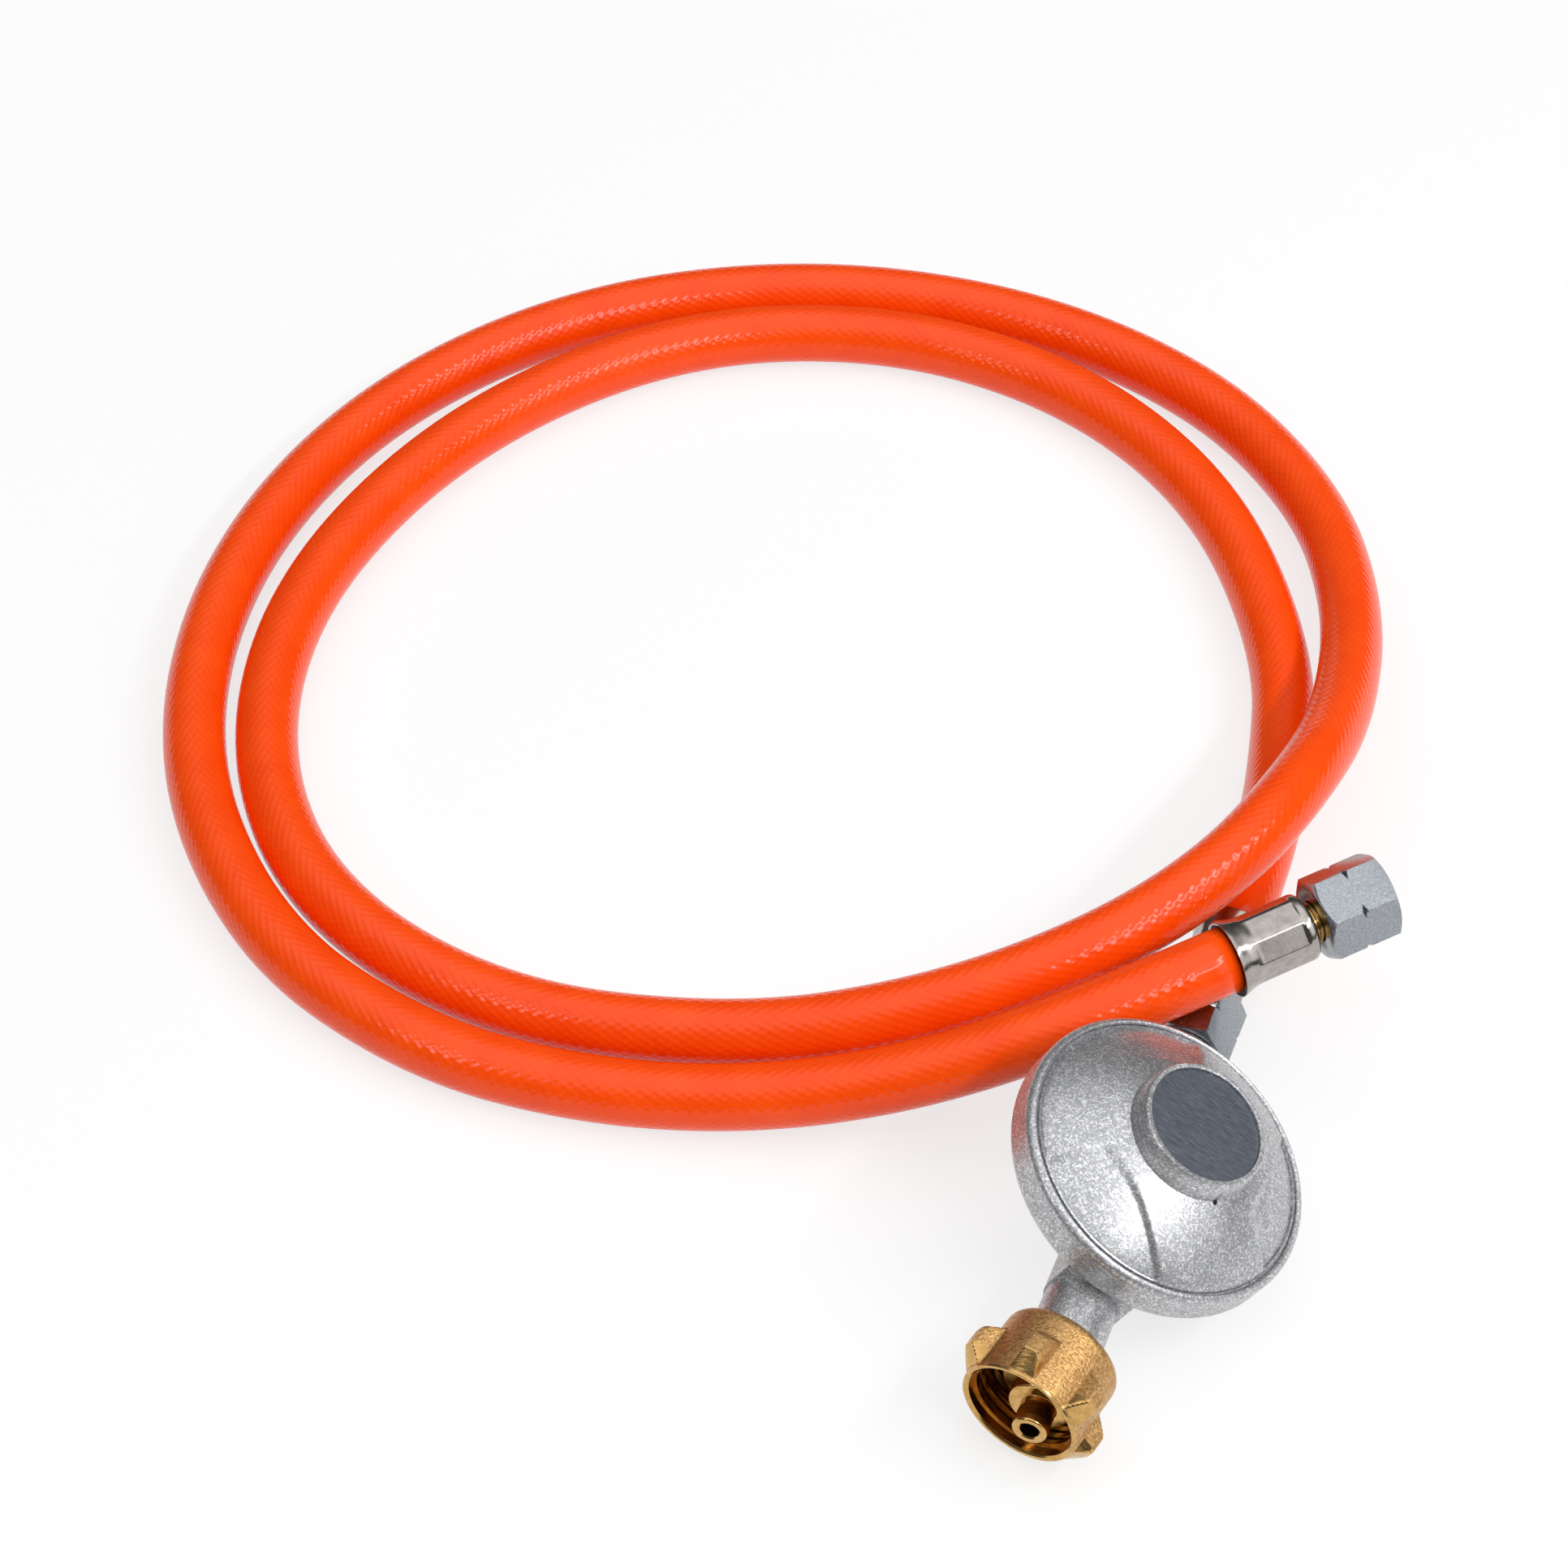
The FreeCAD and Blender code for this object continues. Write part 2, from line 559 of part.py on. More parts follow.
def hex_nut(roll):
    """A hose nut along Y, from its mouth at Y = 0, with its left hand mark on the corners."""
    corner = HEX_FLATS / math.sqrt(3)
    corners = [V(x, 0, z) for x, z in hexagon(HEX_FLATS, roll)]
    prism = Part.Face(Part.makePolygon(corners + corners[:1])).extrude(V(0, HEX_LENGTH, 0))
    bevel = corner - HEX_FLATS / 2
    rise = 0.6
    limit = turned_y((0, 0), (0, HEX_FLATS / 2), (rise, corner + 0.01),
                     (HEX_LENGTH - 1.5 * rise, corner + 0.01), (HEX_LENGTH, HEX_FLATS / 2 - bevel / 4),
                     (HEX_LENGTH, 0))
    middle = HEX_LENGTH / 2
    notch = turned_y((middle, HEX_NOTCH_R), (middle - HEX_NOTCH_HALF, corner + 0.1),
                     (middle + HEX_NOTCH_HALF, corner + 0.1))
    inside = turned_y((0, 0), (0, HEX_MOUTH_R), (HEX_MOUTH_R - HEX_THREAD_R, HEX_THREAD_R),
                      (HEX_THREAD_END, HEX_THREAD_R), (HEX_THREAD_END, HEX_RELIEF_R),
                      (HEX_SHOULDER, HEX_RELIEF_R), (HEX_SHOULDER, HEX_SHOULDER_R),
                      (HEX_LENGTH, HEX_SHOULDER_R), (HEX_LENGTH, 0))
    return prism.common(limit).cut([notch, inside])


def stem():
    """The brass stem: a cone that seals, a head that the nut pulls, a neck and a barbed tail."""
    head_back = HEX_SHOULDER - RUN
    nose = STEM_HEAD_FACE - (STEM_HEAD_R - 0.4 - STEM_NOSE_R) / CONE_SLOPE
    tail = HEX_LENGTH + NECK_SHOWN + 2.0
    pitch = (HOSE_INSET - 3.0) / BARBS
    steps = [(nose, STEM_NOSE_R), (STEM_HEAD_FACE, STEM_HEAD_R - 0.4), (STEM_HEAD_FACE, STEM_HEAD_R),
             (head_back, STEM_HEAD_R), (head_back, STEM_NECK_R), (tail, STEM_NECK_R)]
    for i in range(BARBS):
        steps.append((tail + i * pitch, HOSE_BORE_R + BARB_RISE))
        steps.append((tail + (i + 1) * pitch, HOSE_BORE_R - BARB_RISE))
    return turned_y((nose, STEM_BORE_R), *steps, (tail + BARBS * pitch, STEM_BORE_R))


def ferrule():
    """The crimped sleeve, with a bell mouth, a rounded shoulder and crimp flats."""
    start = HEX_LENGTH + NECK_SHOWN
    end = start + FERRULE_LENGTH
    bell = 3.4
    inner = HOSE_CRIMPED_R + FIT
    outside = turned_y((start, 0), (start, FERRULE_R - FERRULE_ROUND),
                       ((start + 0.3 * FERRULE_ROUND, FERRULE_R - 0.3 * FERRULE_ROUND),
                        (start + FERRULE_ROUND, FERRULE_R)),
                       (end - bell, FERRULE_R), (end - 0.5, FERRULE_MOUTH_R),
                       (end, FERRULE_MOUTH_R), (end, 0))
    corner = FERRULE_FLAT_R / math.cos(math.pi / FERRULE_FLATS)
    flat_start = start + 2.0
    corners = [V(x, flat_start, z)
               for x, z in (polar(corner, 360 / FERRULE_FLATS * (i + 0.5)) for i in range(FERRULE_FLATS))]
    keep = Part.Face(Part.makePolygon(corners + corners[:1])).extrude(V(0, end - bell - 0.5 - flat_start, 0))
    crimp = rod_y(FERRULE_R + 1, flat_start, end - bell - 0.5).cut(keep)
    hollow = turned_y((start, 0), (start, STEM_NECK_R + FIT),
                      (start + 1.2, STEM_NECK_R + FIT), (start + 1.2, inner),
                      (end - bell, inner), (end, HOSE_R + RUN), (end, 0))
    return outside.cut([crimp, hollow])


HOSE_START = V(AXIS_X, AXIS_Y + REGULATOR_NUT_MOUTH + HEX_LENGTH + NECK_SHOWN + FERRULE_LENGTH,
               AXIS_Z)


def lying(x, y, lift):
    """A point of the hose's centre, from where the hose starts, lifted from its bed."""
    return V(HOSE_START.x + x, HOSE_START.y + y, HOSE_R + lift)


# The hose's route: out of the regulator, down to the floor and two loops to the left. The
# second pass comes over the first one behind its ferrule in a long low hump, and the free end
# comes to lie over the regulator's hose nut.
ROUTE = [
    HOSE_START,
    HOSE_START + V(0, FIRST_RUN, 0),
    lying(-4.7, 55.6, 0.6),
    lying(-13.7, 92.7, 0),
    lying(-42.8, 137.8, 0),
    lying(-83.9, 163.9, 0),
    lying(-132, 168.9, 0),
    lying(-179, 148.8, 0),
    lying(-213.1, 101.7, 0),
    lying(-226.1, 42.6, 0),
    lying(-215.1, -9.5, 0),
    lying(-184, -48.5, 0),
    lying(-136, -64.6, 0),
    lying(-85.7, -57.4, 3.4),
    lying(-49.5, -44, 12.2),
    lying(-20.5, -24, 21.2),
    lying(-3, 1, 25.2),
    lying(5, 30, 25.2),
    lying(6, 63.5, 15.2),
    lying(-1.6, 103.9, 6.8),
    lying(-19.7, 141.5, 2.3),
    lying(-54.8, 172.9, 0),
    lying(-103.9, 185.9, 0),
    lying(-158, 177.9, 0),
    lying(-206.1, 147.8, 0),
    lying(-237.1, 97.7, 0),
    lying(-244.2, 37.6, 0),
    lying(-227.1, -20.5, 0),
    lying(-189.1, -62.6, 0),
    lying(-147, -78.6, 0),
    lying(-110.9, -78.1, 0),
    lying(-76.8, -70.3, 2.3),
    lying(-44.9, -58.5, 10.1),
    lying(-15.2, -42.4, 22.4),
    lying(4.6, -22.8, 25.9),
]


def hose_path():
    """Straight runs joined by tangent arcs, with each arc as large as its runs allow."""
    edges = []
    radii = []
    here = ROUTE[0]
    for before, corner, after in zip(ROUTE, ROUTE[1:], ROUTE[2:]):
        back = (before - corner).normalize()
        ahead = (after - corner).normalize()
        cut = ARC_SHARE * min((before - corner).Length, (after - corner).Length)
        half = back.getAngle(ahead) / 2
        radius = cut * math.tan(half)
        middle = corner + (back + ahead).normalize() * (cut / math.cos(half) - radius)
        start = corner + back * cut
        end = corner + ahead * cut
        edges.append(Part.LineSegment(here, start).toShape())
        edges.append(Part.Arc(start, middle, end).toShape())
        radii.append(round(radius, 1))
        here = end
    edges.append(Part.LineSegment(here, ROUTE[-1]).toShape())
    print("hose: arc radii", radii)
    return Part.Wire(edges)


def fitted(shape, roll, at, way):
    """Places a fitting drawn along Y with its hose end on the hose's end."""
    hose_end = HEX_LENGTH + NECK_SHOWN + FERRULE_LENGTH
    shape.translate(V(0, -hose_end, 0))
    shape.rotate(CENTRE, Y_AXIS, roll)
    turn = FreeCAD.Rotation(Y_AXIS, way)
    shape.Placement = FreeCAD.Placement(at, turn).multiply(shape.Placement)
    return shape


def at_regulator(shape, roll=0):
    return fitted(shape, roll, ROUTE[0], Y_AXIS)


def at_free_end(shape, roll=0):
    return fitted(shape, roll, ROUTE[-1], ROUTE[-2] - ROUTE[-1])


def hose_end():
    """The stretch of hose squeezed between the stem and the ferrule."""
    mouth = HEX_LENGTH + NECK_SHOWN + FERRULE_LENGTH
    return turned_y((mouth - HOSE_INSET, HOSE_BORE_R), (mouth - HOSE_INSET, HOSE_CRIMPED_R),
                    (mouth - 3.4, HOSE_CRIMPED_R), (mouth, HOSE_R), (mouth, HOSE_BORE_R))


def hose():
    path = hose_path()
    way = (ROUTE[1] - ROUTE[0]).normalize()
    skin = path.makePipeShell([Part.Wire(Part.makeCircle(HOSE_R, ROUTE[0], way))], True, False)
    bore = path.makePipeShell([Part.Wire(Part.makeCircle(HOSE_BORE_R, ROUTE[0], way))], True, False)
    tube = skin.cut(bore)
    section = math.pi * (HOSE_R ** 2 - HOSE_BORE_R ** 2)
    print("hose: length", round(path.Length, 1), "volume over section times length",
          round(tube.Volume / (section * path.Length), 5))
    ends = [at_regulator(hose_end()), at_free_end(hose_end())]
    return tube.fuse(ends)


PIECES = {
    "lower_body": lower_body,
    "upper_cover": upper_cover,
    "label_disc": label_disc,
    "adjusting_screw": adjusting_screw,
    "main_spring": main_spring,
    "diaphragm_plate": diaphragm_plate,
    "diaphragm": diaphragm,
    "diaphragm_stud": diaphragm_stud,
    "stud_nut": stud_nut,
    "valve_lever": valve_lever,
    "lever_pin": lever_pin,
    "valve_plunger": valve_plunger,
    "valve_pad": valve_pad,
    "valve_seat": valve_seat,
    "inlet_nozzle": inlet_nozzle,
    "inlet_filter": inlet_filter,
    "wing_nut": wing_nut,
    "regulator_end_nut": lambda: at_regulator(hex_nut(REGULATOR_NUT_ROLL)),
    "regulator_end_stem": lambda: at_regulator(stem()),
    "regulator_end_ferrule": lambda: at_regulator(ferrule()),
    "hose": hose,
    "free_end_ferrule": lambda: at_free_end(ferrule()),
    "free_end_stem": lambda: at_free_end(stem()),
    "free_end_nut": lambda: at_free_end(hex_nut(FREE_NUT_ROLL)),
}

os.makedirs("parts", exist_ok=True)
for name, make in PIECES.items():
    shape = make()
    box = shape.BoundBox
    print(name, "solids", len(shape.Solids), "valid", shape.isValid(), "volume", round(shape.Volume, 1),
          "x %.2f %.2f y %.2f %.2f z %.2f %.2f" % (box.XMin, box.XMax, box.YMin, box.YMax, box.ZMin, box.ZMax))
    shape.exportStep("parts/" + name + ".step")
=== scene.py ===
# %% [markdown]
# # A propane regulator and its hose
# A low pressure regulator sits on a gas cylinder and feeds a stove through an orange hose.
# The exact solids are packed already, and this script dresses them: it models the skin of most
# visible pieces by hand, in metres and in the same frame, and gives every piece its finish.

# %% Load the frame
import json
import math

import bmesh
import bpy
from mathutils import Matrix, Vector
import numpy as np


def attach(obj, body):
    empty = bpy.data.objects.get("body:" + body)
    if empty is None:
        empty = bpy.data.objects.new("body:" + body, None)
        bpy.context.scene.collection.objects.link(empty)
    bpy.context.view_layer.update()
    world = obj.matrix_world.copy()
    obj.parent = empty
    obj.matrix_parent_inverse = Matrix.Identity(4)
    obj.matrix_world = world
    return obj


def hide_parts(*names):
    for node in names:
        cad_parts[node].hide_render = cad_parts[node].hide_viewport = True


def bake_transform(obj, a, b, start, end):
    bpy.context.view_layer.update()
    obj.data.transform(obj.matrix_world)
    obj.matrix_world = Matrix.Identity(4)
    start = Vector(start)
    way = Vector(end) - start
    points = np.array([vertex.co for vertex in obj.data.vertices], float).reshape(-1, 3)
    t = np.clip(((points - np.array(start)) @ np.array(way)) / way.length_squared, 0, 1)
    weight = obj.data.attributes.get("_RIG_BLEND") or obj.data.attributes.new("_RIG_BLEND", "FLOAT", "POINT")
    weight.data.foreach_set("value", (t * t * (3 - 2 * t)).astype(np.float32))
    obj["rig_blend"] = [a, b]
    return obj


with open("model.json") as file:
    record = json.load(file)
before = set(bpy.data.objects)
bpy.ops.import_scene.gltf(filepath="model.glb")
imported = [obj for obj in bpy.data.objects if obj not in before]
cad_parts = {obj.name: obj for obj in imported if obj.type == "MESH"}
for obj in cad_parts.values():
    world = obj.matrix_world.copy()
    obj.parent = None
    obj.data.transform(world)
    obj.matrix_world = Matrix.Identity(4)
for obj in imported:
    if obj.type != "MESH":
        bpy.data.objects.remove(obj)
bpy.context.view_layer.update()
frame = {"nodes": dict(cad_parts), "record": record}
nodes = frame["nodes"]
MM = 0.001

# %% [markdown]
# ## Where things lie
# The regulator leans on its side, so most pieces are drawn upright round the disc's own axis
# and then leaned over by one matrix. The hose's fittings are drawn along Y from the nut's
# mouth, and a second helper stands them on the hose's end. The route's points are typed in
# millimetres, and the hose starts behind the first fitting.

# %% Places
AXIS = Vector((-5.710, 6.9, 15.195))
LEAN = math.radians(28.43)
LEANED = Matrix.Translation(AXIS * MM) @ Matrix.Rotation(LEAN, 4, "Y")

HOSE_R = 6.75
NUT_LENGTH = 15.0
NECK_SHOWN = 2.0
FERRULE_LENGTH = 17.5
FITTING = NUT_LENGTH + NECK_SHOWN + FERRULE_LENGTH
HOSE_START = Vector((AXIS.x, AXIS.y + 38.0 + FITTING, AXIS.z))


def lying(x, y, lift):
    """A point of the hose's middle, from where the hose starts, lifted from its bed."""
    return Vector((HOSE_START.x + x, HOSE_START.y + y, HOSE_R + lift))


ROUTE = [
    HOSE_START,
    HOSE_START + Vector((0, 22, 0)),
    lying(-4.7, 55.6, 0.6),
    lying(-13.7, 92.7, 0),
    lying(-42.8, 137.8, 0),
    lying(-83.9, 163.9, 0),
    lying(-132, 168.9, 0),
    lying(-179, 148.8, 0),
    lying(-213.1, 101.7, 0),
    lying(-226.1, 42.6, 0),
    lying(-215.1, -9.5, 0),
    lying(-184, -48.5, 0),
    lying(-136, -64.6, 0),
    lying(-85.7, -57.4, 3.4),
    lying(-49.5, -44, 12.2),
    lying(-20.5, -24, 21.2),
    lying(-3, 1, 25.2),
    lying(5, 30, 25.2),
    lying(6, 63.5, 15.2),
    lying(-1.6, 103.9, 6.8),
    lying(-19.7, 141.5, 2.3),
    lying(-54.8, 172.9, 0),
    lying(-103.9, 185.9, 0),
    lying(-158, 177.9, 0),
    lying(-206.1, 147.8, 0),
    lying(-237.1, 97.7, 0),
    lying(-244.2, 37.6, 0),
    lying(-227.1, -20.5, 0),
    lying(-189.1, -62.6, 0),
    lying(-147, -78.6, 0),
    lying(-110.9, -78.1, 0),
    lying(-76.8, -70.3, 2.3),
    lying(-44.9, -58.5, 10.1),
    lying(-15.2, -42.4, 22.4),
    lying(4.6, -22.8, 25.9),
]


def fitting_place(at, way, roll=0.0):
    """The matrix that takes a fitting drawn along Y to the hose's end."""
    turn = Vector((0, 1, 0)).rotation_difference(way.normalized()).to_matrix().to_4x4()
    back = Matrix.Translation((0, -FITTING * MM, 0))
    return Matrix.Translation(at * MM) @ turn @ Matrix.Rotation(math.radians(roll), 4, "Y") @ back


def at_regulator(roll=0.0):
    return fitting_place(ROUTE[0], Vector((0, 1, 0)), roll)


def at_free_end(roll=0.0):
    return fitting_place(ROUTE[-1], ROUTE[-2] - ROUTE[-1], roll)


print("hose starts at", [round(x, 2) for x in HOSE_START])
print("hose ends at", [round(x, 2) for x in ROUTE[-1]])

# %% [markdown]
# ## The camera
# The photograph looks down at 45 degrees from the front, a little from the right, with a long
# lens. The camera's place was solved from the fittings' known sizes.

# %% Camera
CAMERA_AT = Vector((0.11642, -0.51059, 0.65396))
LOOKS_AT = Vector((-0.11063, 0.10146, 0.00116))
lens = bpy.data.cameras.new("camera")
lens.sensor_width = 36.0
lens.lens = 98.76
camera = bpy.data.objects.new("camera", lens)
bpy.context.scene.collection.objects.link(camera)
camera.location = CAMERA_AT
camera.rotation_euler = (LOOKS_AT - CAMERA_AT).to_track_quat("-Z", "Y").to_euler()
lens.clip_start = 0.05
lens.clip_end = 50
bpy.context.scene.camera = camera
print("camera is", round((LOOKS_AT - CAMERA_AT).length, 3), "m from what it looks at")

# %% [markdown]
# ## Tools for modelling
# Blender's operators act on whatever is selected, so each step first clears the selection and
# then picks vertices, edges or faces by their place. A turned piece starts as one vertex that
# is extruded along its profile, and the closed profile is spun round Z.

# %% Selection helpers
def clear():
    """Back to object mode, with nothing selected."""
    if bpy.context.mode != "OBJECT":
        bpy.ops.object.mode_set(mode="OBJECT")
    bpy.ops.object.select_all(action="DESELECT")


def use(obj):
    """Makes one object the selected and active one."""
    clear()
    obj.select_set(True)
    bpy.context.view_layer.objects.active = obj
    return obj


def edit(obj):
    use(obj)
    bpy.ops.object.mode_set(mode="EDIT")


def pick(test, kind="FACE"):
    """In edit mode, selects what passes test(middle in mm, part) and returns how many."""
    mesh = bmesh.from_edit_mesh(bpy.context.object.data)
    bpy.ops.mesh.select_mode(type=kind)
    bpy.ops.mesh.select_all(action="DESELECT")
    parts = {"VERT": mesh.verts, "EDGE": mesh.edges, "FACE": mesh.faces}[kind]
    chosen = 0
    for part in parts:
        if kind == "VERT":
            middle = part.co.copy()
        else:
            middle = sum((v.co for v in part.verts), Vector()) / len(part.verts)
        if test(middle / MM, part):
            part.select_set(True)
            chosen += 1
    mesh.select_flush_mode()
    bmesh.update_edit_mesh(bpy.context.object.data)
    return chosen


# %% Turned pieces
def drawn(name, points):
    """One closed profile of (radius, height) points in mm. A third number rounds the corner."""
    clear()
    bpy.ops.mesh.primitive_plane_add(size=MM)
    obj = bpy.context.object
    obj.name = name
    bpy.ops.object.mode_set(mode="EDIT")
    bpy.ops.mesh.select_mode(type="VERT")
    bpy.ops.mesh.merge(type="CENTER")
    here = Vector((0, 0, 0))
    for i, point in enumerate(points):
        to = Vector((point[0], 0, point[1])) * MM
        if i == 0:
            bpy.ops.transform.translate(value=to - here)
        else:
            bpy.ops.mesh.extrude_region_move(TRANSFORM_OT_translate={"value": to - here})
        here = to
    ends = [Vector((points[i][0], 0, points[i][1])) for i in (0, -1)]
    pick(lambda m, v: min((m - end).length for end in ends) < 1e-3, "VERT")
    bpy.ops.mesh.edge_face_add()
    for point in points:
        if len(point) > 2:
            at = Vector((point[0], 0, point[1]))
            pick(lambda m, v: (m - at).length < 1e-3, "VERT")
            bpy.ops.mesh.bevel(offset=point[2] * MM, segments=4, affect="VERTICES")
    return obj


def cut_run(low, high, cuts):
    """Divides the profile's edges whose middle lies in a box of (radius, height)."""
    pick(lambda m, e: low[0] <= m.x <= high[0] and low[1] <= m.z <= high[1], "EDGE")
    bpy.ops.mesh.subdivide(number_cuts=cuts)


def spin(steps):
    """Spins the drawn profile into a closed solid round Z."""
    bpy.ops.mesh.select_all(action="SELECT")
    bpy.ops.mesh.spin(steps=steps, angle=2 * math.pi, center=(0, 0, 0), axis=(0, 0, 1))
    bpy.ops.mesh.select_all(action="SELECT")
    bpy.ops.mesh.remove_doubles(threshold=1e-6)
    bpy.ops.mesh.normals_make_consistent(inside=False)
    bpy.ops.object.mode_set(mode="OBJECT")


def turned(name, points, steps=96):
    obj = drawn(name, points)
    spin(steps)
    return obj


def modify(obj, kind, **settings):
    """Adds a modifier and applies it."""
    use(obj)
    modifier = obj.modifiers.new(kind.lower(), kind)
    for key, value in settings.items():
        setattr(modifier, key, value)
    bpy.ops.object.modifier_apply(modifier=modifier.name)
    return obj


def cut(obj, cutter, operation="DIFFERENCE"):
    """Cuts obj with another mesh, which is then removed."""
    modify(obj, "BOOLEAN", object=cutter, operation=operation, solver="EXACT")
    bpy.data.objects.remove(cutter)
    return obj


def joined(obj, *others):
    """Joins other meshes into obj."""
    use(obj)
    for other in others:
        other.select_set(True)
    bpy.ops.object.join()
    return obj


def left_thread(radius, size, start, pitch, turns, steps):
    """A left-hand thread, a triangle wound up Z from a height in mm."""
    clear()
    bpy.ops.mesh.primitive_circle_add(
        vertices=3, radius=size * MM, fill_type="NOTHING",
        location=(radius * MM, 0, start * MM), rotation=(math.radians(90), math.radians(90), 0))
    thread = bpy.context.object
    bpy.ops.object.transform_apply(location=True, rotation=True, scale=True)
    return modify(thread, "SCREW", angle=-2 * math.pi, screw_offset=pitch * MM, iterations=turns,
                  steps=steps, render_steps=steps, axis="Z", use_smooth_shade=False)


ALONG_Y = Matrix.Rotation(math.radians(-90), 4, "X")


def place(obj, matrix, angle=35):
    """Moves the finished mesh to its place and shades it smooth up to an angle."""
    use(obj)
    obj.matrix_world = matrix @ obj.matrix_world
    bpy.ops.object.transform_apply(location=True, rotation=True, scale=True)
    bpy.ops.object.shade_smooth_by_angle(angle=math.radians(angle))
    faces = len(obj.data.polygons)
    print(obj.name, "has", faces, "faces")
    return obj


# %% [markdown]
# ## Finishes
# Each finish is a small network on Object coordinates, in metres, so its grain keeps its real
# size on every piece. A bump is driven by the same noise that shifts the colour or the gloss,
# which makes dirt and wear sit where the surface is rough.

# %% Material helpers
def finish(name, colour, metallic=0.0, roughness=0.4):
    """A new material with its shader set, and what is needed to wire it."""
    material = bpy.data.materials.new(name)
    material.use_nodes = True
    tree = material.node_tree
    shader = tree.nodes["Principled BSDF"]
    shader.inputs["Base Color"].default_value = (*colour, 1)
    shader.inputs["Metallic"].default_value = metallic
    shader.inputs["Roughness"].default_value = roughness
    return material, tree, shader


def add(tree, kind, **settings):
    node = tree.nodes.new(kind)
    for key, value in settings.items():
        if key in node.inputs:
            node.inputs[key].default_value = value
        else:
            setattr(node, key, value)
    return node


def object_points(tree, scale=(1, 1, 1)):
    """Object coordinates in millimetres, stretched by scale."""
    coordinates = add(tree, "ShaderNodeTexCoord")
    mapping = add(tree, "ShaderNodeMapping")
    mapping.inputs["Scale"].default_value = [s / MM for s in scale]
    tree.links.new(coordinates.outputs["Object"], mapping.inputs["Vector"])
    return mapping.outputs["Vector"]


def noise(tree, points, size, detail=3.0, rough=0.6):
    """Soft noise whose blobs are about size millimetres."""
    node = add(tree, "ShaderNodeTexNoise", Scale=1 / size, Detail=detail, Roughness=rough)
    tree.links.new(points, node.inputs["Vector"])
    return node.outputs["Fac"]


def ramp(tree, value, *stops):
    """A colour ramp of (position, colour) stops."""
    node = add(tree, "ShaderNodeValToRGB")
    elements = node.color_ramp.elements
    while len(elements) < len(stops):
        elements.new(0.5)
    for element, (position, colour) in zip(elements, stops):
        element.position = position
        element.color = (*colour, 1)
    tree.links.new(value, node.inputs["Fac"])
    return node.outputs["Color"]


def grey(level):
    return (level, level, level)


def spread(tree, value, low, high, out_low, out_high):
    """Takes value from its own range, low to high, to another."""
    node = add(tree, "ShaderNodeMapRange")
    numbers = {"From Min": low, "From Max": high, "To Min": out_low, "To Max": out_high}
    for key, number in numbers.items():
        node.inputs[key].default_value = number
    tree.links.new(value, node.inputs["Value"])
    return node.outputs["Result"]


def coloured_by(tree, shader, value, *stops):
    """Colours the finish by a ramp over value."""
    tree.links.new(ramp(tree, value, *stops), shader.inputs["Base Color"])


def roughened_by(tree, shader, value, low, high, rough_low, rough_high):
    """Gives the finish a roughness that follows value."""
    result = spread(tree, value, low, high, rough_low, rough_high)
    tree.links.new(result, shader.inputs["Roughness"])


def bump(tree, shader, height, depth, before=None):
    """A bump of depth millimetres where height goes from 0 to 1."""
    node = add(tree, "ShaderNodeBump", Strength=1.0, Distance=depth * MM)
    tree.links.new(height, node.inputs["Height"])
    if before is not None:
        tree.links.new(before, node.inputs["Normal"])
    tree.links.new(node.outputs["Normal"], shader.inputs["Normal"])
    return node.outputs["Normal"]


# %% Silver paint
def silver_paint():
    """Paint with metal flakes. Each flake is a small cell with its own tone and gloss."""
    material, tree, shader = finish("silver_paint", (0.4, 0.405, 0.42), 0.85, 0.34)
    points = object_points(tree)
    flakes = add(tree, "ShaderNodeTexVoronoi", Scale=3.2)
    tree.links.new(points, flakes.inputs["Vector"])
    cell = add(tree, "ShaderNodeSeparateColor")
    tree.links.new(flakes.outputs["Color"], cell.inputs["Color"])
    coloured_by(tree, shader, cell.outputs["Red"], (0.0, (0.33, 0.335, 0.35)),
                (0.6, (0.48, 0.485, 0.5)), (1.0, (0.8, 0.8, 0.81)))
    roughened_by(tree, shader, cell.outputs["Green"], 0, 1, 0.32, 0.46)
    fine = bump(tree, shader, noise(tree, points, 0.3, 2.0, 0.7), 0.022)
    bump(tree, shader, noise(tree, points, 2.0, 2.0), 0.012, before=fine)
    return material


# %% Brass
def forged_brass():
    """Blasted brass, whose grain is speckled in its colour too."""
    material, tree, shader = finish("forged_brass", (0.58, 0.38, 0.15), 1.0, 0.42)
    points = object_points(tree)
    tone = noise(tree, points, 0.6, 5.0, 0.7)
    coloured_by(tree, shader, tone, (0.36, (0.38, 0.20, 0.07)), (0.5, (0.58, 0.335, 0.13)),
                (0.64, (0.80, 0.51, 0.22)))
    grain = noise(tree, points, 0.45, 3.0, 0.65)
    roughened_by(tree, shader, grain, 0.3, 0.7, 0.3, 0.5)
    bump(tree, shader, grain, 0.16)
    return material


def machined_brass():
    """Turned brass. The tool's rings are read along the piece's own turning axis."""
    material, tree, shader = finish("machined_brass", (0.78, 0.55, 0.2), 1.0, 0.16)
    points = object_points(tree)
    tone = noise(tree, points, 1.6, 3.0)
    coloured_by(tree, shader, tone, (0.3, (0.48, 0.27, 0.08)), (0.7, (0.68, 0.43, 0.16)))
    marks = noise(tree, object_points(tree, (0.4, 6.0, 0.4)), 1.0, 2.0)
    roughened_by(tree, shader, marks, 0.3, 0.7, 0.1, 0.26)
    bump(tree, shader, marks, 0.012)
    return material


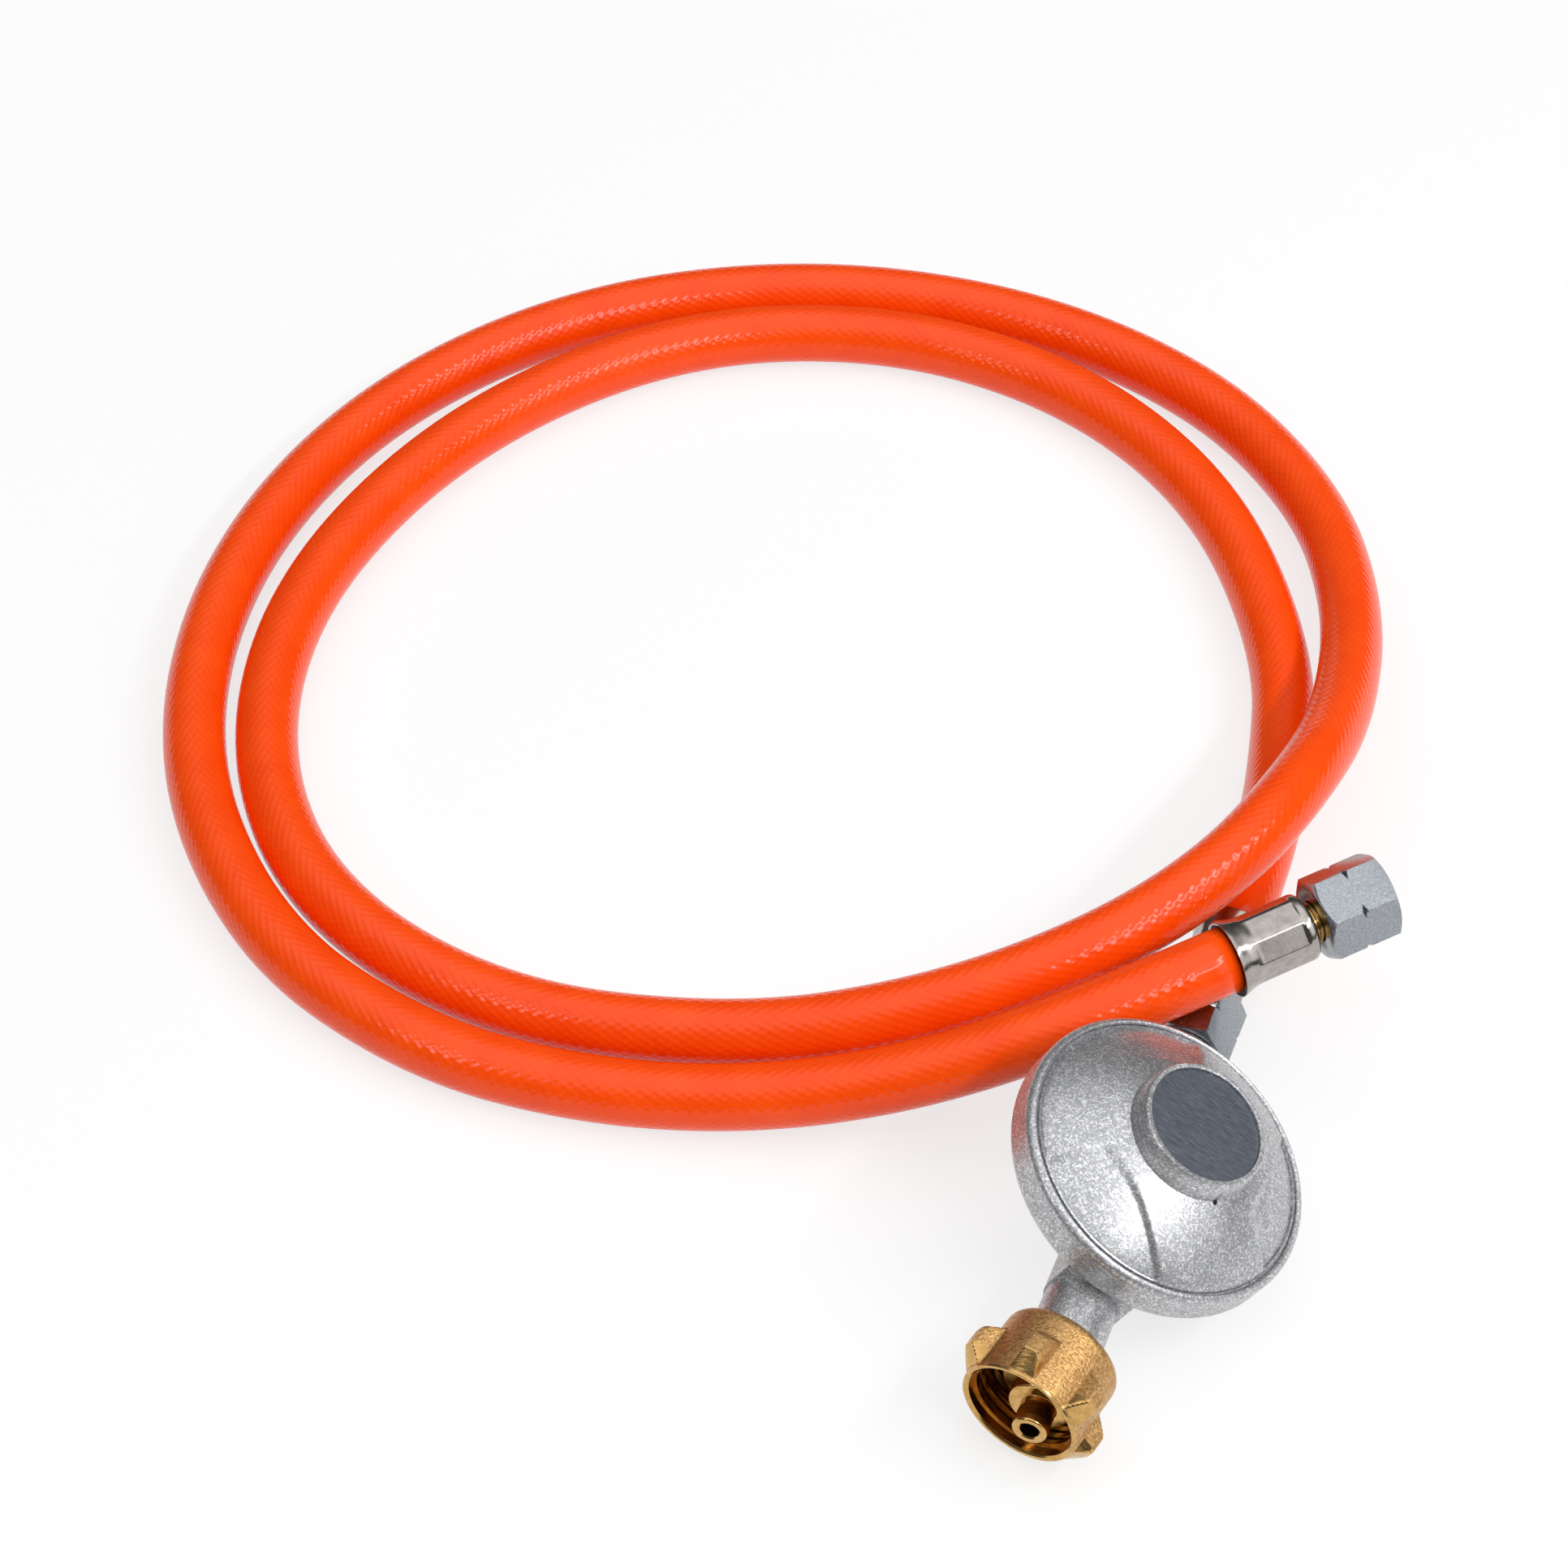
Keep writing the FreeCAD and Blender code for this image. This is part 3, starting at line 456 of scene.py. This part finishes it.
# %% Plated steel
def zinc_plate():
    """Zinc with cloudy spangle and fine scratches."""
    material, tree, shader = finish("zinc_plate", (0.62, 0.67, 0.72), 1.0, 0.27)
    points = object_points(tree)
    blotch = noise(tree, points, 0.5, 4.0, 0.7)
    coloured_by(tree, shader, blotch, (0.32, (0.24, 0.265, 0.29)), (0.52, (0.33, 0.35, 0.375)),
                (0.7, (0.43, 0.45, 0.47)))
    roughened_by(tree, shader, blotch, 0.3, 0.7, 0.14, 0.3)
    scratch = noise(tree, object_points(tree, (0.35, 5.0, 5.0)), 1.0, 2.0)
    first = bump(tree, shader, scratch, 0.01)
    bump(tree, shader, noise(tree, points, 0.3, 2.0), 0.012, before=first)
    return material


def nickel():
    material, tree, shader = finish("nickel", (0.68, 0.65, 0.61), 1.0, 0.17)
    points = object_points(tree)
    cloud = noise(tree, points, 2.0, 3.0)
    coloured_by(tree, shader, cloud, (0.3, (0.33, 0.30, 0.275)), (0.7, (0.46, 0.43, 0.40)))
    roughened_by(tree, shader, cloud, 0.3, 0.7, 0.12, 0.24)
    bump(tree, shader, noise(tree, points, 0.5, 3.0), 0.01)
    return material


def plain_steel(name, colour, roughness):
    """Drawn, pressed or ground steel that mostly stays inside."""
    material, tree, shader = finish(name, colour, 1.0, roughness)
    lines = noise(tree, object_points(tree, (1, 0.2, 1)), 0.5, 3.0)
    light = tuple(min(1.0, c * 1.15) for c in colour)
    dark = tuple(c * 0.75 for c in colour)
    coloured_by(tree, shader, lines, (0.3, dark), (0.7, light))
    bump(tree, shader, lines, 0.01)
    return material


# %% Foil, rubber and plastic
def dark_foil():
    """Brushed dark foil with small glossy specks."""
    material, tree, shader = finish("dark_foil", (0.13, 0.14, 0.16), 0.8, 0.42)
    brushed = noise(tree, object_points(tree, (0.22, 3.6, 0.3)), 0.6, 4.0, 0.7)
    specks = noise(tree, object_points(tree), 0.32, 2.0, 0.8)
    coloured_by(tree, shader, brushed, (0.28, (0.055, 0.062, 0.08)),
                (0.55, (0.145, 0.16, 0.195)), (0.8, (0.34, 0.36, 0.40)))
    roughened_by(tree, shader, specks, 0.35, 0.75, 0.5, 0.28)
    bump(tree, shader, brushed, 0.012)
    return material


def black_rubber():
    material, tree, shader = finish("black_rubber", (0.02, 0.02, 0.021), 0.0, 0.55)
    grain = noise(tree, object_points(tree), 0.6, 3.0)
    coloured_by(tree, shader, grain, (0.3, grey(0.012)), (0.7, grey(0.035)))
    bump(tree, shader, grain, 0.02)
    return material


def plastic(name, colour, roughness):
    material, tree, shader = finish(name, colour, 0.0, roughness)
    grain = noise(tree, object_points(tree), 0.8, 3.0)
    dark = tuple(c * 0.8 for c in colour)
    coloured_by(tree, shader, grain, (0.3, dark), (0.7, colour))
    bump(tree, shader, grain, 0.015)
    return material


def sintered_bronze():
    """Small balls melted together. The gaps between them are deep, and their colour is darker there as
    painted shade.
    """
    material, tree, shader = finish("sintered_bronze", (0.42, 0.26, 0.12), 1.0, 0.55)
    balls = add(tree, "ShaderNodeTexVoronoi", Scale=4.0)
    tree.links.new(object_points(tree), balls.inputs["Vector"])
    distance = balls.outputs["Distance"]
    # The ramp darkens the gaps between the balls. This is painted shade in the recesses, not the bronze's
    # own colour.
    coloured_by(tree, shader, distance, (0.1, (0.55, 0.36, 0.18)), (0.6, (0.2, 0.11, 0.05)))
    bump(tree, shader, distance, -0.12)
    return material


# %% The finishes of this part
FINISH = {
    "silver_paint": silver_paint(),
    "dark_foil": dark_foil(),
    "spring_steel": plain_steel("spring_steel", (0.45, 0.45, 0.46), 0.3),
    "pin_steel": plain_steel("pin_steel", (0.6, 0.6, 0.61), 0.22),
    "pressed_steel": plain_steel("pressed_steel", (0.62, 0.62, 0.58), 0.34),
    "zinc_plate": zinc_plate(),
    "nickel": nickel(),
    "brass": machined_brass(),
    "forged_brass": forged_brass(),
    "sintered_bronze": sintered_bronze(),
    "diaphragm_rubber": black_rubber(),
    "white_plastic": plastic("white_plastic", (0.78, 0.77, 0.72), 0.4),
    "black_plastic": plastic("black_plastic", (0.035, 0.035, 0.037), 0.45),
}


def paint(obj, *names):
    """Gives a mesh its finishes, one for each material slot."""
    obj.data.materials.clear()
    for name in names:
        obj.data.materials.append(FINISH[name])
    return obj


for subpart in frame["record"]["subparts"]:
    if subpart["material_slot"] in FINISH:
        paint(nodes[subpart["node"]], subpart["material_slot"])

# %% [markdown]
# ## The hose
# The hose is rubber over a textile braid, and it lies in two loops. Its middle is one smooth
# NURBS spline through the route, and a round bevel gives it its skin. Made a mesh, it gets a
# UV map in which one way is the length along the hose, so the braid keeps its pitch.

# %% Hose
def spline_of(points):
    """An open spline of order 3 that starts and ends at its outer points."""
    curve = bpy.data.curves.new("hose", "CURVE")
    curve.dimensions = "3D"
    line = curve.splines.new("NURBS")
    line.points.add(len(points) - 1)
    for knot, point in zip(line.points, points):
        knot.co = (*(point * MM), 1)
    line.order_u = 3
    line.use_endpoint_u = True
    line.resolution_u = 12
    obj = bpy.data.objects.new("hose", curve)
    bpy.context.scene.collection.objects.link(obj)
    return obj


hose = spline_of(ROUTE)
middle_line = [v.co.copy() for v in bpy.data.meshes.new_from_object(hose).vertices]
hose_length = sum((b - a).length for a, b in zip(middle_line, middle_line[1:]))
print("hose is", round(hose_length, 4), "m long,", len(middle_line), "points on its middle line")

BEVEL_STEPS = 14
hose.data.bevel_depth = HOSE_R * MM
hose.data.bevel_resolution = BEVEL_STEPS
hose.data.use_fill_caps = True
use(hose)
bpy.ops.object.convert(target="MESH")
hose = bpy.context.object
hose.name = "hose_cover"
bpy.ops.object.shade_smooth_by_angle(angle=math.radians(50))

# %% Hose UV map
line_at = [0.0]
for a, b in zip(middle_line, middle_line[1:]):
    line_at.append(line_at[-1] + (b - a).length / hose_length)
ring = 2 * BEVEL_STEPS + 4
uv = hose.data.uv_layers.active or hose.data.uv_layers.new(name="UVMap")
for face in hose.data.polygons:
    corners = [hose.data.loops[i].vertex_index for i in face.loop_indices]
    if len(corners) != 4:
        continue
    around = [c % ring for c in corners]
    wraps = max(around) - min(around) > 1
    for i, corner in zip(face.loop_indices, corners):
        step = corner % ring
        if wraps and step == 0:
            step = ring
        along = line_at[min(corner // ring, len(line_at) - 1)]
        uv.data[i].uv = (along, step / ring)
# The end caps have rings of their own, which are merged with the tube's first and last rings.
edit(hose)
bpy.ops.mesh.select_all(action="SELECT")
bpy.ops.mesh.remove_doubles(threshold=1e-6)
clear()
print("hose mesh:", len(hose.data.vertices), "vertices, in rings of", ring)


# %% Hose finish
WEAVE_PITCH = 2.8
STRANDS = 24


def orange_rubber():
    """Rubber that shows the braid below it as two sets of low waves that cross."""
    material, tree, shader = finish("orange_rubber", (0.95, 0.08, 0.002), 0.0, 0.3)
    shader.inputs["Specular IOR Level"].default_value = 0.31
    where = add(tree, "ShaderNodeUVMap", uv_map=uv.name)
    parts = add(tree, "ShaderNodeSeparateXYZ")
    tree.links.new(where.outputs["UV"], parts.inputs["Vector"])
    waves = []
    for slope in (1, -1):
        along = add(tree, "ShaderNodeMath", operation="MULTIPLY")
        along.inputs[1].default_value = 2 * math.pi * hose_length / MM / WEAVE_PITCH
        tree.links.new(parts.outputs["X"], along.inputs[0])
        total = add(tree, "ShaderNodeMath", operation="MULTIPLY_ADD")
        total.inputs[1].default_value = slope * 2 * math.pi * STRANDS
        tree.links.new(parts.outputs["Y"], total.inputs[0])
        tree.links.new(along.outputs[0], total.inputs[2])
        wave = add(tree, "ShaderNodeMath", operation="SINE")
        tree.links.new(total.outputs[0], wave.inputs[0])
        waves.append(wave.outputs[0])
    weave = add(tree, "ShaderNodeMath", operation="ADD")
    tree.links.new(waves[0], weave.inputs[0])
    tree.links.new(waves[1], weave.inputs[1])
    points = object_points(tree)
    first = bump(tree, shader, spread(tree, weave.outputs[0], -2, 2, 0, 1), 0.07)
    bump(tree, shader, noise(tree, points, 1.2, 3.0), 0.02, before=first)
    smudge = noise(tree, points, 9.0, 4.0)
    coloured_by(tree, shader, smudge, (0.3, (0.93, 0.064, 0.001)), (0.7, (0.985, 0.082, 0.002)))
    roughened_by(tree, shader, smudge, 0.3, 0.7, 0.16, 0.24)
    return material


FINISH["orange_rubber"] = orange_rubber()
paint(hose, "orange_rubber")
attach(hose, "body")
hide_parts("hose")

# %% [markdown]
# ## The upper cover
# The cover is a cast and painted dome with a round boss. Three shallow bays are sunk into its
# slope, each with one long wall that is broad at the inner corner and narrows toward the rim.
# The dome is turned with fine rings, and the bays are made by moving its vertices down, by
# their distance from the bay's two sides.

# %% Upper cover
EDGE_R, EDGE_Z = 27.5, 16.8
FOOT_R, FOOT_Z = 13.5, 25.0
MID_R, MID_Z = 20.5, 21.7
BAY_CORNER = Vector((-13.7, -10.2))
BAY_SHORT = Vector((-0.829, -0.560)).normalized()
BAY_LONG = Vector((0.787, -0.615)).normalized()
BAY_DEPTH = 0.9


def circle_through(a, b, c):
    """Middle and radius of the circle through three points."""
    ax, ay, bx, by, cx, cy = *a, *b, *c
    d = 2 * (ax * (by - cy) + bx * (cy - ay) + cx * (ay - by))
    sa, sb, sc = ax * ax + ay * ay, bx * bx + by * by, cx * cx + cy * cy
    x = (sa * (by - cy) + sb * (cy - ay) + sc * (ay - by)) / d
    y = (sa * (cx - bx) + sb * (ax - cx) + sc * (bx - ax)) / d
    return x, y, math.hypot(ax - x, ay - y)


DOME_X, DOME_Y, DOME_R = circle_through((EDGE_R, EDGE_Z), (MID_R, MID_Z), (FOOT_R, FOOT_Z))


def dome_height(r):
    return DOME_Y + math.sqrt(max(0.0, DOME_R ** 2 - (r - DOME_X) ** 2))


def smooth(t):
    t = min(1.0, max(0.0, t))
    return t * t * (3 - 2 * t)


def bay_sink(x, y):
    """How deep a bay is sunk into the cover at a point, in mm."""
    deepest = 0.0
    for i in range(3):
        point = Vector((x, y))
        point.rotate(Matrix.Rotation(math.radians(-120 * i), 2))
        away = point - BAY_CORNER
        wall = 0.55 + 1.7 * smooth(1 - away.length / 13)
        pressed = smooth(away.cross(BAY_LONG) / wall) * smooth(BAY_SHORT.cross(away) / 3.2)
        deepest = max(deepest, BAY_DEPTH * pressed)
    return deepest


cover = drawn("cover_skin", [
    (29.05, 13.4), (29.05, 15.3), (28.0, 15.3), (28.0, 16.05, 0.1), (EDGE_R, EDGE_Z, 0.2),
    (FOOT_R, FOOT_Z), (13.0, 29.7), (12.65, 30.05), (11.8, 30.05, 0.1), (11.8, 28.75),
    (10.6, 28.75), (10.6, 22.8), (12.5, 22.8), (19.0, 20.3), (24.5, 16.6), (24.5, 13.4)])
cut_run((20.0, 20.5), (21.0, 21.5), 47)
spin(400)
for vertex in cover.data.vertices:
    x, y, z = vertex.co / MM
    r = math.hypot(x, y)
    flat = EDGE_Z + (EDGE_R - r) / (EDGE_R - FOOT_R) * (FOOT_Z - EDGE_Z)
    if FOOT_R - 0.01 < r < EDGE_R - 0.1 and abs(z - flat) < 0.25:
        vertex.co.z = (dome_height(r) - bay_sink(x, y) * smooth((r - FOOT_R) / 1.5)) * MM
    elif r > EDGE_R - 0.3 and z > 16.4:
        vertex.co.z -= 0.45 * bay_sink(x, y) * MM
VENT_AT = Vector((8.8, -10.5, 25))
bpy.ops.mesh.primitive_cylinder_add(vertices=24, radius=0.5 * MM, depth=8 * MM, location=VENT_AT * MM)
vent = bpy.context.object
cut(cover, vent)
place(cover, LEANED, 40)
paint(cover, "silver_paint")
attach(cover, "body")
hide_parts("upper_cover")

# %% [markdown]
# ## The wing nut
# The inlet nut is a brass forging that is turned only at its mouth and inside. Its six lugs
# flow out of the ring, so the ring is turned with fine rows and the lugs are drawn out of it
# by moving vertices. The turned cone at the lugs' front keeps its shine, and the thread is a
# ridge that a Screw modifier winds to the left.

# %% Wing nut ring
NUT_PLACE = (Matrix.Translation((AXIS + Vector((-3.1, -56.7, 0))) * MM)
             @ Matrix.Rotation(math.radians(-12.95), 4, "Z")
             @ Matrix.Rotation(math.radians(1.5), 4, "X"))
RING_R = 12.0
LUG_TIP = 15.3
LUG_GAP = 60
nut = drawn("wing_nut_forging", [
    (11.35, 0.0, 0.15), (RING_R, 0.0, 0.2), (11.9, 16.7, 1.8), (8.8, 16.7, 0.3), (8.8, 13.7, 0.3),
    (10.9, 13.7), (10.9, 1.4), (10.9, 0.45)])
cut_run((11.8, 4.0), (12.1, 12.0), 55)
spin(300)


def lug_height(angle, y):
    """How far a lug stands out of the ring, at a height y over the mouth, in mm."""
    beside = abs(math.degrees(angle) % LUG_GAP - LUG_GAP / 2) * math.radians(1) * RING_R
    turned_cone = (y - 0.4) / 3.5
    back = smooth((10.7 - y) / 3.1)
    flank = min(1.0, (2.6 - beside) / 1.5)
    return (LUG_TIP - RING_R) * max(0.0, min(turned_cone, back, flank))


for vertex in nut.data.vertices:
    x, y, z = vertex.co / MM
    r = math.hypot(x, y)
    if r > 11.5 and z > 0.3:
        out = (r + lug_height(math.atan2(y, x), z)) / r
        vertex.co.x *= out
        vertex.co.y *= out

# %% Wing nut thread
joined(nut, left_thread(radius=10.6, size=0.62, start=1.9, pitch=1.814, turns=6, steps=72))
place(nut, NUT_PLACE @ ALONG_Y, 32)
paint(nut, "forged_brass", "brass")
for face in nut.data.polygons:
    middle = (NUT_PLACE @ ALONG_Y).inverted() @ face.center / MM
    r = math.hypot(middle.x, middle.y)
    if r < 11.7 and middle.z < 14 or middle.z < 0.35 or (r > 12.3 and middle.z < 4.3):
        face.material_index = 1
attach(nut, "wing_nut")
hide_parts("wing_nut")

# %% [markdown]
# ## The nozzle
# The nozzle is turned brass: a straight spigot with a rounded, countersunk end, a step and the
# collar that the wing nut pulls on.

# %% Nozzle
nozzle = turned("inlet_spigot", [
    (1.9, -59.5), (2.3, -59.8, 0.1), (3.4, -59.8, 0.5), (3.4, -54.0, 0.2), (6.0, -54.0, 0.6),
    (6.0, -48.4, 0.2), (8.9, -48.4, 0.5), (8.9, -45.9, 0.3), (5.0, -45.9), (5.0, -36.0),
    (1.9, -36.0)])
place(nozzle, LEANED @ ALONG_Y, 35)
paint(nozzle, "brass")
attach(nozzle, "body")
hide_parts("inlet_nozzle")

# %% [markdown]
# ## The hose nuts
# A hose nut is a hexagon bar turned at both ends, which gives each flat its round arcs. The
# hexagon is a six sided cylinder that a turned blank cuts to shape. Small notches in the
# middle of the corners mark a left-hand thread.

# %% Hose nuts
FLATS = 16.0
CORNER = FLATS / math.sqrt(3)


def hose_nut(name, roll, threaded):
    """A hose nut along Z from its mouth, rolled about its axis."""
    clear()
    half = NUT_LENGTH / 2
    bpy.ops.mesh.primitive_cylinder_add(
        vertices=6, radius=CORNER * MM, depth=NUT_LENGTH * MM, location=(0, 0, half * MM),
        rotation=(0, 0, math.radians(30 + roll)))
    obj = bpy.context.object
    obj.name = name
    bpy.ops.object.transform_apply(location=True, rotation=True, scale=True)
    blank = turned("blank", [
        (0, -0.01), (8.0, -0.01), (CORNER + 0.02, 0.65), (CORNER + 0.02, NUT_LENGTH - 1.1),
        (7.65, NUT_LENGTH + 0.01), (0, NUT_LENGTH + 0.01)])
    cut(obj, blank, "INTERSECT")
    notch = turned("notch", [
        (8.45, half), (CORNER + 0.4, half - 1.0), (CORNER + 0.4, half + 1.0)])
    cut(obj, notch)
    inside = turned("inside", [
        (0, -0.5), (7.7, -0.5), (6.75, 0.45), (6.75, 6.6), (6.95, 6.6), (6.95, 12.0), (4.4, 12.0),
        (4.4, NUT_LENGTH + 0.5), (0, NUT_LENGTH + 0.5)])
    cut(obj, inside)
    modify(obj, "BEVEL", width=0.24 * MM, segments=2, limit_method="ANGLE",
           angle_limit=math.radians(28), use_clamp_overlap=True)
    if threaded:
        joined(obj, left_thread(radius=6.55, size=0.5, start=0.9, pitch=1.337, turns=4, steps=48))
    return obj


HOSE_NUTS = (("hose_nut_inner", 3.0, at_regulator(), "regulator_end_nut"),
             ("hose_nut_outer", 37.8, at_free_end(), "free_end_nut"))
for name, roll, where, node in HOSE_NUTS:
    obj = hose_nut(name, -roll, node == "free_end_nut")
    place(obj, where @ ALONG_Y, 32)
    paint(obj, "zinc_plate")
    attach(obj, node)
    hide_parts(node)

# %% [markdown]
# ## Ferrules and stems
# The ferrule is a nickel sleeve that is squeezed onto the hose in eight flats, with a thin
# ridge left between them. It flares at the hose's side and closes in a round shoulder over the
# brass stem.

# %% Ferrules
SLEEVE_R = 7.0
FLAT_R = 6.72
FLAT_TURN = 45


def ferrule(name):
    """A sleeve with flats pressed into it, and a ridge between each two."""
    start, end = NUT_LENGTH + NECK_SHOWN, FITTING
    obj = drawn(name, [
        (4.05, start), (SLEEVE_R, start, 1.3), (SLEEVE_R, end - 3.4, 1.5), (7.95, end - 0.6, 0.4),
        (8.05, end, 0.1), (7.2, end, 0.15), (6.3, end - 3.4), (6.25, start + 1.2),
        (4.05, start + 1.2)])
    cut_run((6.9, start + 4), (7.1, end - 6), 47)
    spin(240)
    low, high = start + 2.1, end - 4.0
    half = FLAT_TURN / 2
    for vertex in obj.data.vertices:
        x, y, z = vertex.co / MM
        r = math.hypot(x, y)
        if r > 6.6 and low < z < high:
            off = abs((math.degrees(math.atan2(y, x)) + half) % FLAT_TURN - half)
            flat = FLAT_R / math.cos(math.radians(half - off))
            pressed = min(r, max(6.62, flat - 0.1))
            ends = smooth((z - low) / 0.5) * smooth((high - z) / 0.5)
            ridge = 1 - smooth((off - 1.5) / 1.6)
            target = r + (pressed - r) * ends * (1 - ridge)
            vertex.co.x *= target / r
            vertex.co.y *= target / r
    return obj


def stem(name):
    """A brass stem from its sealing cone, through its collar and neck, to four barbs."""
    profile = [
        (2.1, 6.57), (4.6, 6.57), (5.9, 9.1, 0.2), (6.3, 9.1, 0.1), (6.3, 11.7, 0.2), (4.0, 11.7),
        (4.0, 15.4), (4.3, 15.5), (4.3, 15.9), (3.85, 16.0), (3.85, 16.4), (4.0, 16.5), (4.0, 19.0)]
    pitch = 3.125
    for i in range(4):
        profile += [(3.4, 19.0 + i * pitch), (2.9, 19.0 + (i + 1) * pitch)]
    return turned(name, profile + [(2.1, 31.5)], 72)


for end, where in (("inner", at_regulator()), ("outer", at_free_end())):
    node = "regulator_end" if end == "inner" else "free_end"
    for make, finish_name, part in ((ferrule, "nickel", "ferrule"), (stem, "brass", "stem")):
        obj = make("hose_" + part + "_" + end)
        place(obj, where @ ALONG_Y, 35)
        paint(obj, finish_name)
        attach(obj, "body")
        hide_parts(node + "_" + part)

# %% [markdown]
# ## The soft pieces inside
# The diaphragm's rubber and the valve's pad are hidden, but they are modelled as what they
# are: a moulded sheet with one soft roll, and a small pad with a rounded edge. The spring is
# squeezed as the diaphragm lifts, so its top keeps to the body and its foot to the plate, and
# the diaphragm's roll bends in the same way between its rim and its middle.

# %% Spring
UPRIGHT = LEANED.inverted()
spring_mesh = bpy.data.meshes.new_from_object(nodes["main_spring"])
spring = bpy.data.objects.new("loading_spring", spring_mesh)
bpy.context.scene.collection.objects.link(spring)
edit(spring)
bpy.ops.mesh.select_all(action="SELECT")
bpy.ops.mesh.remove_doubles(threshold=1e-6)
place(spring, Matrix.Identity(4), 40)
paint(spring, "spring_steel")
coil_heights = [(UPRIGHT @ v.co).z for v in spring.data.vertices]
spring_top = Vector((0, 0, max(coil_heights) - 1.2 * MM))
spring_foot = Vector((0, 0, min(coil_heights) + 1.2 * MM))
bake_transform(spring, "body", "diaphragm_centre", start=LEANED @ spring_top, end=LEANED @ spring_foot)
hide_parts("main_spring")

# %% Diaphragm and pad
diaphragm = turned("diaphragm_sheet", [
    (1.55, 12.8), (18.8, 12.8, 0.4), (21.0, 14.6, 1.6), (23.2, 12.8, 0.4), (29.05, 12.8),
    (29.05, 13.4), (23.6, 13.4, 0.4), (21.0, 15.2, 1.6), (18.4, 13.4, 0.4), (1.55, 13.4)], 120)
place(diaphragm, LEANED, 60)
paint(diaphragm, "diaphragm_rubber")
rim, middle = Vector((23.5, 0, 13)) * MM, Vector((18.5, 0, 13)) * MM
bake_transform(diaphragm, "body", "diaphragm_centre", start=LEANED @ rim, end=LEANED @ middle)
# The sheet bends by its distance from the disc's axis, so its shares are set ring by ring.
shares = diaphragm.data.attributes["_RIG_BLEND"].data
for vertex, share in zip(diaphragm.data.vertices, shares):
    r = (UPRIGHT @ vertex.co).xy.length / MM
    share.value = smooth((23.4 - r) / 4.8)
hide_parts("diaphragm")

pad = turned("seat_pad", [
    (0, -11.2), (2.7, -11.2, 0.3), (2.7, -9.6, 0.1), (1.0, -9.6), (1.0, -7.6, 0.2), (0, -7.6)], 48)
place(pad, LEANED @ ALONG_Y, 50)
paint(pad, "diaphragm_rubber")
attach(pad, "valve")
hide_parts("valve_pad")

# %% [markdown]
# ## Floor and light
# A plain white sheet lies under everything. Its colour and a glow that only the camera and
# reflections see make it white, and the lamps stay at a plain level. A long strip and a broad
# soft box stand to the right, a weak one at the front left, and the room is brightest overhead.

# %% Floor
clear()
bpy.ops.mesh.primitive_plane_add(size=80, location=(0, 0, -0.0002))
floor = bpy.context.object
floor.name = "floor"
GLOW_SHARE = 0.75
sheet, tree, shader = finish("white_sheet", grey(0.93), 0.0, 0.9)
shader.inputs["Specular IOR Level"].default_value = 0.0
glow = add(tree, "ShaderNodeEmission", Strength=1.0)
rays = add(tree, "ShaderNodeLightPath")
seen = add(tree, "ShaderNodeMath", operation="MAXIMUM")
tree.links.new(rays.outputs["Is Camera Ray"], seen.inputs[0])
tree.links.new(rays.outputs["Is Glossy Ray"], seen.inputs[1])
share = add(tree, "ShaderNodeMath", operation="MULTIPLY")
share.inputs[1].default_value = GLOW_SHARE
tree.links.new(seen.outputs[0], share.inputs[0])
mix = add(tree, "ShaderNodeMixShader")
tree.links.new(share.outputs[0], mix.inputs[0])
tree.links.new(shader.outputs[0], mix.inputs[1])
tree.links.new(glow.outputs[0], mix.inputs[2])
tree.links.new(mix.outputs[0], tree.nodes["Material Output"].inputs["Surface"])
floor.data.materials.append(sheet)


# %% Lamps and world
def soft_box(name, at, towards, size, watts):
    lamp = bpy.data.lights.new(name, "AREA")
    lamp.shape = "RECTANGLE"
    lamp.size, lamp.size_y = size
    lamp.energy = watts
    obj = bpy.data.objects.new(name, lamp)
    bpy.context.scene.collection.objects.link(obj)
    obj.location = at
    obj.rotation_euler = (Vector(towards) - Vector(at)).to_track_quat("-Z", "Y").to_euler()
    return obj


soft_box("strip", (0.76, -0.09, 0.97), (-0.03, 0.06, 0), (1.3, 0.08), 8.4)
soft_box("side", (1.15, -0.15, 0.65), (-0.03, 0.06, 0), (0.9, 0.7), 2.2)
soft_box("fill", (-0.66, -0.73, 0.86), (-0.08, 0.08, 0), (0.2, 0.2), 1.2)
world = bpy.context.scene.world or bpy.data.worlds.new("world")
bpy.context.scene.world = world
world.use_nodes = True
tree = world.node_tree
looking = add(tree, "ShaderNodeTexCoord")
heights = add(tree, "ShaderNodeSeparateXYZ")
tree.links.new(looking.outputs["Generated"], heights.inputs["Vector"])
room = ramp(tree, heights.outputs["Z"], (0.0, grey(0.05)), (0.5, grey(0.08)),
            (0.7, grey(0.25)), (0.84, grey(0.8)), (1.0, grey(1.0)))
tree.links.new(room, tree.nodes["Background"].inputs["Color"])
tree.nodes["Background"].inputs["Strength"].default_value = 1.5
bpy.context.scene.view_settings.view_transform = "Standard"

# %% Nothing left selected
clear()
